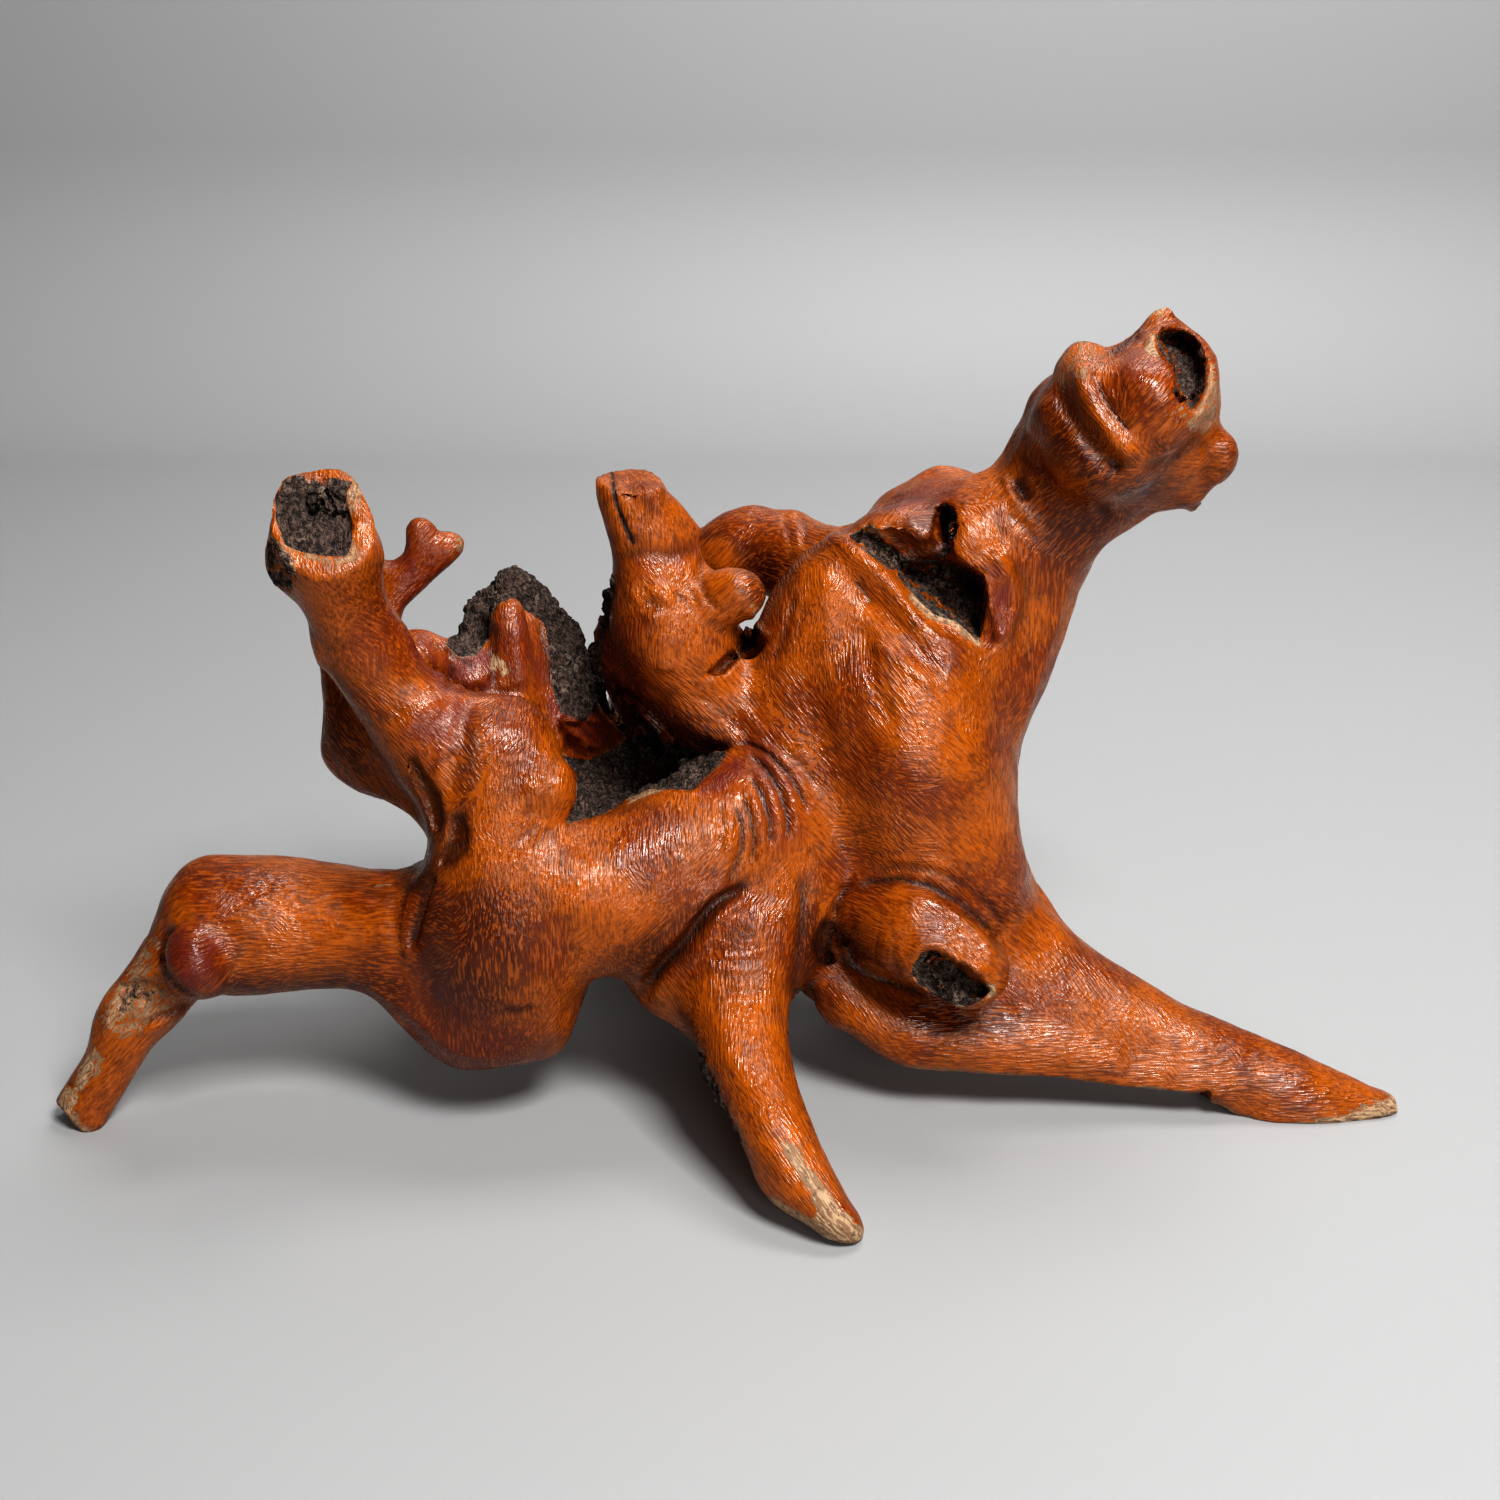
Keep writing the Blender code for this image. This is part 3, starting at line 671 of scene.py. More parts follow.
def sharpRims(mesh):
    # points along the edges that the skin keeps crisp
    edges = bmesh.new()
    edges.from_mesh(mesh)
    found = []
    for edge in edges.edges:
        if len(edge.link_faces) == 2 and edge.calc_face_angle() > math.radians(rootSkin["rimAngle"]):
            a, b = (v.co for v in edge.verts)
            steps = max(1, int((b - a).length / (rootSkin["rimStep"] * mm)))
            found += [a.lerp(b, k / steps) for k in range(steps + 1)]
    edges.free()
    return treeOf(found)


def remeshed(skin, voxel):
    selectOnly(skin)
    skin.data.remesh_voxel_size = voxel * mm
    skin.data.remesh_voxel_adaptivity = 0
    bpy.ops.object.voxel_remesh()


def startSkin():
    mesh = nodes["root"].data.copy()
    mesh.materials.clear()
    skin = bpy.data.objects.new("rootSkin", mesh)
    bpy.context.scene.collection.objects.link(skin)
    selectOnly(skin)
    bpy.ops.object.mode_set(mode="EDIT")
    bpy.ops.mesh.select_all(action="SELECT")
    bpy.ops.mesh.remove_doubles(threshold=0.00001)  # metres: it only joins the loose triangles
    bpy.ops.object.mode_set(mode="OBJECT")
    sharp = sharpRims(skin.data)
    remeshed(skin, rootSkin["roughVoxel"])
    near = np.array([sharp.find(p)[2] for p in readPoints(skin.data)])
    weights = smoothStep(rootSkin["keepSharp"] * mm, rootSkin["keepNear"] * mm, near)
    group = skin.vertex_groups.new(name="smooth")
    for level in range(11):  # the weights go in by tenths
        group.add(np.nonzero(np.round(weights * 10) == level)[0].tolist(), level / 10, "REPLACE")
    smooth = skin.modifiers.new("facetsAway", "SMOOTH")
    smooth.iterations = rootSkin["facetPasses"]
    smooth.vertex_group = "smooth"
    bpy.ops.object.modifier_apply(modifier=smooth.name)
    skin.vertex_groups.clear()
    print("skin:", len(skin.data.vertices), "points")
    return skin


sight = dict(
    cell=4,  # pixels on each side of the cells that the view is divided in
    behind=8.0,  # mm that a seen point may lie behind the nearest point of its cell
)


def seenFromCamera(points, normals):
    # a point is seen when it faces the camera and nothing in its cell lies well in front of it
    deep = depthOf(points)
    across = cameraSet["photoSize"] // sight["cell"]
    cell = np.clip(toPixels(points) / sight["cell"], 0, across - 1).astype(np.int64)
    key = cell[:, 1] * across + cell[:, 0]
    front = np.full(across * across, np.inf)
    np.minimum.at(front, key, deep)
    return (facingCamera(points, normals) > 0) & (deep < front[key] + sight["behind"] * mm)


outlineFit = dict(
    edgeFacing=0.5,  # how far from side-on an edge point may be, as a cosine
    alongSlack=2.8,  # pixels along the outline between a handle and its edge point
    sameWay=0.35,  # how nearly an edge point faces the way out of the outline, as a cosine
    leastStep=3.0,  # pixels between handles
    step=0.7,  # pixels between handles, for each mm of spread
    fade=3.2,  # spreads past which a handle moves nothing
    fullWeight=1.65,  # spreads per step: weights that add up to less move the skin less
    batch=4000,  # points worked out together
    batchBox=60,  # mm, boxes that the points are sorted by
)


def outlineHandles(points, normals, reach, step):
    # places on the skin's edge, and the moves that bring them onto the photo's outline
    pixels, deep = toPixels(points), depthOf(points)
    edge = np.nonzero(np.abs(facingCamera(points, normals)) < outlineFit["edgeFacing"])[0]
    outward = np.stack((normals[edge] @ aside, -(normals[edge] @ above)), 1)
    handles, moves = [], []
    for path in outlines.values():
        for a, b in zip(np.array(path, float), np.array(path[1:], float)):
            length = np.linalg.norm(b - a)
            tangent = (b - a) / length
            out = np.array((tangent[1], -tangent[0]))
            for t in np.arange(0, length, step):
                off = pixels[edge] - (a + tangent * t)
                fits = (np.abs(off @ tangent) < outlineFit["alongSlack"]) & (np.abs(off @ out) < reach)
                fits &= outward @ out > outlineFit["sameWay"]
                if fits.any():
                    best = np.nonzero(fits)[0][np.argmax((off @ out)[fits])]
                    k = edge[best]
                    shift = -(off[best] @ out) * out * deep[k] / focal
                    handles.append(points[k])
                    moves.append(shift[0] * aside - shift[1] * above)
    return np.array(handles, np.float32), np.array(moves, np.float32)


def fitOutline(skin, reach, spread):
    # moves the skin's edge, seen from the camera, onto the photo's outline; it fades inwards over spread mm
    points = readPoints(skin.data)
    step = max(outlineFit["leastStep"], spread * outlineFit["step"])
    handles, moves = outlineHandles(points, readNormals(skin.data), reach, step)
    far = outlineFit["fade"] * spread * mm
    tree = treeOf(handles)
    near = np.array([k for k, place in enumerate(points) if tree.find(place)[2] < far])
    boxes = np.round(points[near] / (outlineFit["batchBox"] * mm))
    near = near[np.argsort(boxes[:, 0] * 100 + boxes[:, 2], kind="stable")]
    moved = points.copy()
    for start in range(0, len(near), outlineFit["batch"]):
        chosen = near[start:start + outlineFit["batch"]]
        some = points[chosen].astype(np.float32)
        low, high = some.min(0) - far, some.max(0) + far
        close = np.all((handles > low) & (handles < high), axis=1)
        weight = np.exp(-squaredGaps(some, handles[close]) / (2 * (spread * mm) ** 2))
        total = np.maximum(weight.sum(1), spread * outlineFit["fullWeight"] / step)
        moved[chosen] += (weight @ moves[close]) / total[:, None]
    writeAboveFloor(skin.data, moved)
    meanMove = float(np.linalg.norm(moves, axis=1).mean()) / mm
    print("outline:", len(handles), "handles, mean move", round(meanMove, 2), "mm")


# The arm's sawn end is filled with crumbling wood nearly to its rim.
armFill = dict(
    hollow=[(-186.3, -63.3, 306, 19), (-183.3, -47.3, 293, 16)],  # mm, centres and reach of the hollow
    face=(-186.3, -57.3, 304),  # mm, a point on the end face
    way=(0.13, -0.78, 0.61),  # the way that the end faces
    under=0.8,  # mm below the face where the hollow starts
    dip=4.0,  # mm at the middle
)


def fillArmEnd(skin):
    points = readPoints(skin.data)
    way = np.array(armFill["way"]) / np.linalg.norm(armFill["way"])
    for x, y, z, reach in armFill["hollow"]:
        height = (points - np.array(armFill["face"]) * mm) @ way
        gap = np.linalg.norm(points - np.array((x, y, z)) * mm, axis=1)
        inside = (gap < reach * mm) & (height < -armFill["under"] * mm)
        fromMiddle = np.clip(gap / (reach * mm), 0, 1)
        lift = -height - armFill["dip"] * mm * (1 - fromMiddle ** 2)
        points[inside] += way * lift[inside][:, None]
    writePoints(skin.data, points)
    print("arm end: filled")


def carveHollows(skin):
    points = readPoints(skin.data)
    seen = seenFromCamera(points, readNormals(skin.data))
    pixels = toPixels(points)
    back = points - eye
    back /= np.linalg.norm(back, axis=1)[:, None]
    for hollow in hollows.values():
        near = nearBox(pixels, hollow["outline"], 0)
        near = near[seen[near]]
        depth = hollow["deep"] * mm * smoothStep(0, hollow["soft"], insideBy(pixels[near], hollow["outline"]))
        points[near] += back[near] * depth[:, None]
    writePoints(skin.data, points)
    print("hollows:", len(hollows))


strokeForm = dict(
    reach=2.5,  # half widths past which a stroke does nothing
    taper=0.16,  # share of the length in which an end tapers
    over=0.02,  # share of the length that an end runs on
    foldWide=8,  # pixels: a wider stroke is a form and holds no dirt and no painted shade
    shadeAndDirtWide=0.85,  # of the fold's width
    shadeAndDirtDeep=2.4,  # mm from which a fold is fully darkened with dirt and painted shade
)


def besideStroke(stroke, pixels, seen):
    # the seen points beside a stroke, their distances in half widths, and its strength along its length
    near = nearBox(pixels, stroke["path"], stroke["wide"] * strokeForm["reach"])
    near = near[seen[near]]
    gap, along = pathDistance(pixels[near], stroke["path"])
    strength = 1.0
    if len(stroke["path"]) > 2:
        taper, over = strokeForm["taper"], strokeForm["over"]
        strength = smoothStep(0, taper, along + over) * smoothStep(0, taper, 1 + over - along)
    return near, gap / stroke["wide"], strength


def drawStrokes(skin):
    points, normals = readPoints(skin.data), readNormals(skin.data)
    seen = seenFromCamera(points, normals)
    pixels = toPixels(points)
    moves = np.zeros(len(points))
    for stroke in strokes.values():
        near, gap, strength = besideStroke(stroke, pixels, seen)
        moves[near] -= stroke["deep"] * mm * np.exp(-gap ** 2) * strength
    points += normals * moves[:, None]
    writeAboveFloor(skin.data, points)
    print("strokes:", len(strokes))


def creaseMask(pixels, seen):
    # dirt and painted shade in the folds, strongest in the deep ones
    crease = np.zeros(len(pixels))
    for stroke in strokes.values():
        if stroke["deep"] > 0 and stroke["wide"] < strokeForm["foldWide"]:
            near, gap, strength = besideStroke(stroke, pixels, seen)
            dirtAndPaintedShade = np.exp(-(gap / strokeForm["shadeAndDirtWide"]) ** 2) * strength
            dirtAndPaintedShade *= min(1, stroke["deep"] / strokeForm["shadeAndDirtDeep"])
            crease[near] = np.maximum(crease[near], dirtAndPaintedShade)
    return crease


# Where the wood is rotten, bare or darker: pixels round each place and how strongly it shows there.
# reach gives the depths (metres) where the place goes right through, so that its far side has it too.
rotAreas = dict(
    armEnd=dict(
        outline=[
            (284, 482), (296, 475), (327, 471), (347, 470), (354, 480), (347, 492), (345, 505), (350, 520),
            (353, 540), (347, 557), (325, 556), (300, 552), (285, 545), (276, 520), (275, 500),
        ],
        soft=4, reach=(-0.105, -0.045),
    ),
    armBark=dict(
        outline=[
            (262, 585), (264, 545), (271, 530), (280, 545), (296, 556), (298, 575), (292, 592), (282, 592),
        ],
        soft=8, level=0.6,
    ),
    peak=dict(
        outline=[
            (446, 645), (462, 603), (490, 578), (505, 555), (545, 575), (592, 630), (596, 700), (585, 722),
            (560, 712), (553, 690), (550, 650), (543, 620), (532, 603), (512, 598), (498, 604), (491, 618),
            (488, 640), (476, 655), (458, 657),
        ],
        soft=4, reach=(0.0, 0.13),
    ),
    peakBehind=dict(
        outline=[
            (440, 700), (446, 640), (462, 600), (490, 575), (505, 550), (545, 570), (600, 630), (600, 740),
            (440, 740),
        ],
        soft=10, reach=(0.045, 0.13),
    ),
    flap=dict(
        outline=[
            (590, 650), (598, 640), (600, 600), (611, 572), (617, 578), (612, 605), (604, 640), (600, 660),
            (606, 690), (590, 700),
        ],
        soft=4, reach=(-0.02, 0.12),
    ),
    basin=dict(
        outline=[
            (562, 754), (577, 775), (577, 800), (565, 824), (605, 813), (625, 800), (650, 789), (692, 790),
            (705, 778), (720, 765), (728, 752), (700, 752), (668, 744), (640, 734), (628, 738), (612, 750),
            (590, 760), (572, 758),
        ],
        soft=4, reach=(-0.06, 0.12),
    ),
    eyeBowl=dict(outline=[(893, 571), (905, 562), (901, 553), (862, 528), (848, 536), (872, 557)], soft=3),
    eyeMain=dict(
        outline=[
            (896, 575), (905, 556), (930, 560), (941, 553), (943, 545), (940, 520), (938, 508), (946, 503),
            (955, 510), (957, 525), (952, 548), (944, 560), (965, 566), (983, 576), (988, 598), (982, 627),
            (978, 641), (956, 621), (933, 614), (914, 595),
        ],
        soft=3,
    ),
    headHole=dict(
        outline=[
            (1156, 335), (1166, 331), (1180, 331), (1192, 336), (1202, 345), (1205, 365), (1204, 385),
            (1198, 400), (1191, 412), (1186, 404), (1177, 399), (1174, 391), (1175, 375), (1169, 362),
            (1159, 350),
        ],
        soft=2,
    ),
    knobHole=dict(
        outline=[
            (921, 955), (930, 951), (942, 954), (956, 965), (969, 977), (984, 984), (990, 991), (983, 1000),
            (968, 1006), (952, 1004), (935, 996), (918, 984), (911, 974), (914, 963),
        ],
        soft=3,
    ),
    stubPit=dict(outline=[(742, 628), (752, 621), (760, 632), (757, 645), (748, 652), (740, 648)], soft=3),
    shell=dict(
        outline=[
            (690, 1050), (702, 1052), (712, 1075), (727, 1108), (742, 1140), (738, 1150), (720, 1120),
            (705, 1088), (692, 1066),
        ],
        soft=4, reach=(-0.3, 0.1),
    ),
    crumb=dict(outline=[(792, 992), (804, 986), (806, 1000), (795, 1006)], soft=3),
    shin=dict(
        outline=[
            (122, 985), (138, 978), (158, 985), (166, 997), (158, 1008), (138, 1016), (124, 1020),
            (112, 1018), (116, 1000),
        ],
        soft=8, level=0.5,
    ),
)

# Brown dirt and old bark in clefts, and painted shadow in the basin between the peak and the stub and beside
# the head band.
darkAreas = dict(
    neckKnot=dict(
        outline=[(1012, 480), (1022, 477), (1031, 488), (1031, 500), (1020, 503), (1012, 492)],
        soft=3, level=0.85,
    ),
    headKnot=dict(outline=[(1146, 452), (1155, 444), (1160, 449), (1152, 457)], soft=3, level=0.7),
    neckPit=dict(outline=[(1106, 462), (1118, 463), (1124, 470), (1110, 470)], soft=3, level=0.7),
    cheekKnot=dict(outline=[(1098, 506), (1108, 505), (1112, 514), (1102, 518)], soft=4, level=0.6),
    headBandShade=dict(
        outline=[(1058, 372), (1070, 392), (1096, 440), (1120, 468), (1108, 470), (1080, 446), (1056, 400)],
        soft=8, level=0.45,
    ),
    stubPitLine=dict(
        outline=[(740, 645), (748, 651), (735, 663), (722, 674), (710, 678), (720, 664)],
        soft=3, level=0.9,
    ),
    basinShade=dict(
        outline=[
            (585, 690), (600, 690), (614, 712), (640, 730), (668, 742), (700, 750), (690, 756), (640, 742),
            (622, 734), (600, 714), (585, 712),
        ],
        soft=5, level=1.2,
    ),
    stubCrack=dict(
        outline=[
            (610, 470), (614, 470), (617, 498), (627, 524), (637, 545), (632, 546), (621, 522), (612, 495),
        ],
        soft=1.5, level=1.3,
    ),
    slit=dict(
        outline=[
            (404, 757), (414, 757), (430, 777), (442, 795), (448, 818), (442, 845), (430, 850), (425, 830),
            (420, 805), (410, 780),
        ],
        soft=5, level=0.75,
    ),
    notch=dict(
        outline=[
            (450, 815), (463, 810), (472, 830), (470, 852), (455, 868), (436, 876), (430, 862), (445, 840),
        ],
        soft=6, level=0.8,
    ),
    collarRot=dict(
        outline=[(398, 872), (412, 862), (428, 858), (436, 870), (425, 890), (408, 895), (395, 885)],
        soft=6, level=0.8,
    ),
    knobCleft=dict(
        outline=[
            (810, 945), (817, 928), (827, 915), (833, 930), (832, 950), (838, 962), (825, 970), (815, 962),
        ],
        soft=4, level=0.9,
    ),
    crease=dict(
        outline=[
            (745, 878), (752, 886), (735, 900), (722, 910), (705, 930), (690, 948), (672, 966), (655, 985),
            (640, 1002), (634, 998), (645, 975), (665, 955), (685, 932), (705, 905), (728, 888),
        ],
        soft=4, level=0.75,
    ),
    columnEdge=dict(
        outline=[
            (930, 500), (938, 500), (942, 520), (944, 548), (935, 560), (905, 566), (902, 556), (930, 545),
            (930, 520),
        ],
        soft=4, level=0.7,
    ),
    shinTop=dict(
        outline=[(100, 1010), (115, 1003), (125, 1015), (115, 1030), (98, 1030)],
        soft=5, level=0.5,
    ),
)

# Where the lacquer is worn off.
bareAreas = dict(
    armRim=dict(
        outline=[
            (346, 470), (362, 480), (362, 500), (352, 510), (351, 530), (358, 545), (358, 560), (342, 567),
            (330, 560), (348, 553), (352, 540), (346, 515), (345, 492), (353, 484),
        ],
        soft=4, level=0.75,
    ),
    armRimLow=dict(
        outline=[(285, 545), (300, 553), (330, 558), (330, 562), (300, 558), (283, 550)],
        soft=2, level=0.7,
    ),
    eyeEdge=dict(
        outline=[
            (912, 592), (930, 610), (950, 617), (966, 626), (984, 642), (980, 648), (965, 637), (948, 623),
            (928, 618), (908, 598),
        ],
        soft=3,
    ),
    eyeRimLeft=dict(outline=[(862, 523), (875, 526), (886, 536), (880, 540), (866, 530)], soft=2),
    headRimRight=dict(
        outline=[
            (1206, 350), (1216, 365), (1219, 395), (1219, 420), (1208, 434), (1190, 432), (1176, 412),
            (1180, 402), (1191, 418), (1200, 402), (1207, 385),
        ],
        soft=4, level=0.62,
    ),
    headRimLeft=dict(
        outline=[(1150, 335), (1156, 333), (1155, 345), (1160, 356), (1152, 358), (1144, 350)],
        soft=3,
    ),
    headTip=dict(
        outline=[(1146, 320), (1152, 305), (1166, 300), (1170, 314), (1158, 318)],
        soft=4, level=0.8,
    ),
    headLog=dict(
        outline=[
            (1048, 372), (1063, 350), (1080, 336), (1106, 345), (1106, 362), (1092, 372), (1078, 384),
            (1062, 392),
        ],
        soft=8, level=0.38,
    ),
    frontFoot=dict(
        outline=[
            (778, 1141), (796, 1146), (805, 1160), (816, 1174), (827, 1190), (838, 1205), (854, 1220),
            (872, 1238), (846, 1246), (824, 1240), (800, 1224), (782, 1214), (764, 1200), (772, 1196),
            (795, 1210), (812, 1220), (816, 1212), (810, 1195), (799, 1176), (788, 1160),
        ],
        soft=4,
    ),
    rightTip=dict(
        outline=[
            (1380, 1088), (1402, 1100), (1400, 1112), (1375, 1122), (1340, 1128), (1300, 1132),
            (1265, 1132), (1262, 1126), (1300, 1122), (1345, 1115), (1362, 1106), (1378, 1103),
            (1390, 1098),
        ],
        soft=4,
    ),
    rightUnder=dict(
        outline=[
            (905, 1064), (1000, 1072), (1100, 1081), (1195, 1090), (1240, 1112), (1265, 1124), (1262, 1132),
            (1230, 1120), (1190, 1097), (1100, 1090), (900, 1075),
        ],
        soft=3, level=0.6,
    ),
    shinStreak=dict(
        outline=[(84, 1056), (97, 1048), (93, 1070), (84, 1090), (74, 1092), (78, 1072)],
        soft=3,
    ),
    shinTip=dict(
        outline=[
            (55, 1102), (66, 1085), (80, 1094), (76, 1110), (82, 1122), (96, 1130), (92, 1142), (72, 1125),
        ],
        soft=4, level=0.8,
    ),
    shinWorn=dict(
        outline=[
            (120, 978), (140, 950), (155, 930), (160, 945), (150, 965), (160, 985), (178, 1000),
            (160, 1020), (130, 1038), (105, 1035), (100, 1015), (112, 990),
        ],
        soft=8, level=0.62,
    ),
    shinLow=dict(outline=[(97, 1050), (106, 1060), (96, 1085), (90, 1080)], soft=3, level=0.6),
    tongueChip=dict(
        outline=[(495, 655), (503, 658), (510, 668), (506, 678), (498, 670), (488, 672)],
        soft=3,
    ),
    saddleEdge=dict(
        outline=[(626, 800), (636, 790), (660, 788), (662, 792), (645, 796), (632, 803)],
        soft=2,
    ),
    flankChip=dict(
        outline=[(748, 603), (756, 604), (758, 618), (768, 630), (778, 632), (770, 637), (756, 628)],
        soft=2, level=0.55,
    ),
    knobChip=dict(outline=[(984, 984), (996, 984), (996, 996), (986, 1000)], soft=2),
    knobChipLow=dict(outline=[(952, 1002), (966, 1000), (966, 1008), (954, 1008)], soft=2),
    twigEnd=dict(outline=[(448, 528), (462, 536), (466, 546), (458, 552), (455, 540)], soft=4, level=0.6),
    legChip=dict(outline=[(374, 880), (392, 878), (395, 887), (378, 890)], soft=3, level=0.4),
)

# Where the lacquer is darker and redder: painted shade under the limbs, in valleys and on sides turned from
# the light, partly a real stain.
stainAndShadeAreas = dict(
    bulgeLow=dict(
        outline=[
            (420, 900), (470, 880), (520, 900), (540, 960), (520, 1010), (560, 1040), (520, 1066),
            (450, 1066), (415, 1020), (412, 950),
        ],
        soft=30, level=0.75,
    ),
    bulgeLeft=dict(
        outline=[(455, 720), (478, 705), (480, 760), (470, 840), (450, 860), (455, 780)],
        soft=12, level=0.7,
    ),
    neckValley=dict(
        outline=[
            (1045, 390), (1070, 410), (1100, 450), (1130, 478), (1170, 480), (1140, 505), (1090, 490),
            (1050, 450),
        ],
        soft=18, level=1.0,
    ),
    neckUnder=dict(
        outline=[(1040, 520), (1100, 500), (1160, 500), (1120, 530), (1090, 570), (1050, 570)],
        soft=16, level=0.6,
    ),
    lobe=dict(
        outline=[(330, 670), (350, 700), (375, 760), (395, 800), (340, 780), (318, 750)],
        soft=14, level=0.85,
    ),
    arch=dict(
        outline=[(735, 540), (775, 545), (800, 560), (790, 590), (760, 600), (745, 575)],
        soft=14, level=0.95,
    ),
    heel=dict(
        outline=[(163, 960), (172, 932), (195, 925), (212, 950), (208, 985), (180, 988)],
        soft=8, level=0.8,
    ),
    legTop=dict(
        outline=[(180, 870), (260, 862), (380, 876), (400, 900), (300, 890), (200, 890)],
        soft=12, level=0.4,
    ),
    legUnder=dict(
        outline=[(220, 975), (340, 970), (420, 985), (400, 1010), (340, 992), (220, 1000)],
        soft=14, level=0.8,
    ),
    stubLeft=dict(
        outline=[(608, 600), (625, 640), (650, 690), (640, 720), (600, 690), (590, 650)],
        soft=10, level=0.8,
    ),
    stubUnder=dict(
        outline=[
            (600, 680), (640, 690), (680, 712), (735, 742), (725, 756), (690, 756), (640, 738), (610, 722),
        ],
        soft=8, level=1.0,
    ),
    frontLegSide=dict(
        outline=[(790, 1000), (780, 1050), (800, 1110), (830, 1170), (845, 1200), (815, 1140), (790, 1060)],
        soft=10, level=0.5,
    ),
    underKnob=dict(
        outline=[(860, 985), (920, 1000), (980, 1015), (1030, 1010), (1000, 1040), (920, 1030)],
        soft=14, level=0.75,
    ),
    besideLeg=dict(outline=[(800, 900), (820, 900), (822, 960), (808, 985), (798, 960)], soft=8, level=0.8),
    saddleLow=dict(
        outline=[(600, 960), (650, 930), (700, 900), (720, 900), (690, 950), (640, 990)],
        soft=12, level=0.7,
    ),
    eyeColumn=dict(outline=[(905, 520), (935, 500), (940, 550), (905, 560)], soft=8, level=0.7),
    backRoot=dict(outline=[(700, 535), (720, 520), (740, 530), (720, 548)], soft=8, level=0.4),
)

# Where the lacquer looks purple-brown: mostly a painted reflection of its sheen, partly its own tone, as on
# the broken red piece.
mauveSheenAreas = dict(
    tongue=dict(
        outline=[(488, 640), (500, 606), (520, 600), (545, 640), (552, 690), (500, 700)],
        soft=8, level=0.6,
    ),
    ridgeBehind=dict(
        outline=[(405, 628), (430, 630), (455, 650), (450, 690), (430, 680), (412, 650)],
        soft=8, level=0.8,
    ),
    armPlane=dict(
        outline=[(402, 745), (410, 712), (440, 690), (480, 700), (460, 740), (435, 770)],
        soft=14, level=0.8,
    ),
    purpleRidge=dict(
        outline=[(440, 640), (490, 650), (510, 675), (480, 698), (440, 692), (425, 665)],
        soft=8,
    ),
    saddlePatch=dict(
        outline=[(697, 783), (720, 758), (745, 760), (745, 795), (720, 800), (700, 798)],
        soft=6,
    ),
    foldsTop=dict(
        outline=[(740, 740), (770, 740), (800, 775), (810, 810), (790, 850), (765, 850), (755, 800)],
        soft=12, level=0.6,
    ),
    lipRight=dict(
        outline=[(990, 560), (1008, 570), (1014, 600), (1006, 640), (985, 645), (992, 610)],
        soft=6, level=0.9,
    ),
    brow=dict(outline=[(880, 500), (930, 468), (965, 480), (950, 500), (900, 515)], soft=12, level=0.7),
    twig=dict(outline=[(380, 540), (410, 515), (470, 530), (440, 600), (400, 625)], soft=20, level=0.7),
    heel=dict(
        outline=[(160, 960), (170, 930), (200, 920), (222, 945), (215, 985), (185, 995)],
        soft=10, level=0.9,
    ),
    bulgeLow=dict(
        outline=[(400, 950), (420, 930), (450, 990), (520, 1030), (540, 1060), (470, 1072), (420, 1050)],
        soft=20, level=0.6,
    ),
    stubNeck=dict(outline=[(615, 560), (700, 540), (700, 560), (620, 585)], soft=10, level=0.6),
    headSide=dict(
        outline=[(1120, 350), (1150, 345), (1160, 370), (1140, 385), (1115, 375)],
        soft=10, level=0.6,
    ),
    redPiece=dict(outline=[(540, 690), (590, 700), (622, 715), (620, 750), (570, 745)], soft=8),
)

# Fine ripples across a limb: the way they follow each other, where they show, and their spacing in mm.
rippleAreas = dict(
    rightLeg=dict(
        path=[(1015, 860), (1060, 940), (1130, 1010), (1200, 1050)],
        outline=[
            (1030, 900), (1060, 915), (1110, 960), (1150, 985), (1130, 1010), (1080, 995), (1040, 960),
        ],
        spacing=2.3, level=1.0,
    ),
    saddle=dict(
        path=[(560, 870), (640, 850), (700, 830), (760, 815)],
        outline=[(600, 815), (650, 800), (735, 805), (735, 860), (690, 890), (620, 880)],
        spacing=3.2, level=0.8,
    ),
    frontLeg=dict(
        path=[(745, 930), (742, 1010), (750, 1060)],
        outline=[(705, 940), (780, 935), (785, 1010), (715, 1010)],
        spacing=3.4, level=0.9,
    ),
    knob=dict(
        path=[(840, 930), (920, 940), (1000, 985)],
        outline=[(860, 905), (900, 900), (950, 925), (920, 945), (905, 985), (870, 965)],
        spacing=2.8, level=0.7,
    ),
    neck=dict(
        path=[(960, 520), (1020, 560), (1060, 600)],
        outline=[(995, 505), (1040, 520), (1060, 560), (1040, 590), (1010, 560)],
        spacing=3.0, level=0.6,
    ),
)

rippleForm = dict(
    pixelsPerMm=2.1,  # of the photo, at the root
    margin=25,  # pixels round an outline
    fade=(-20, 12),  # pixels inside an outline where its ripples start and where they are full
)

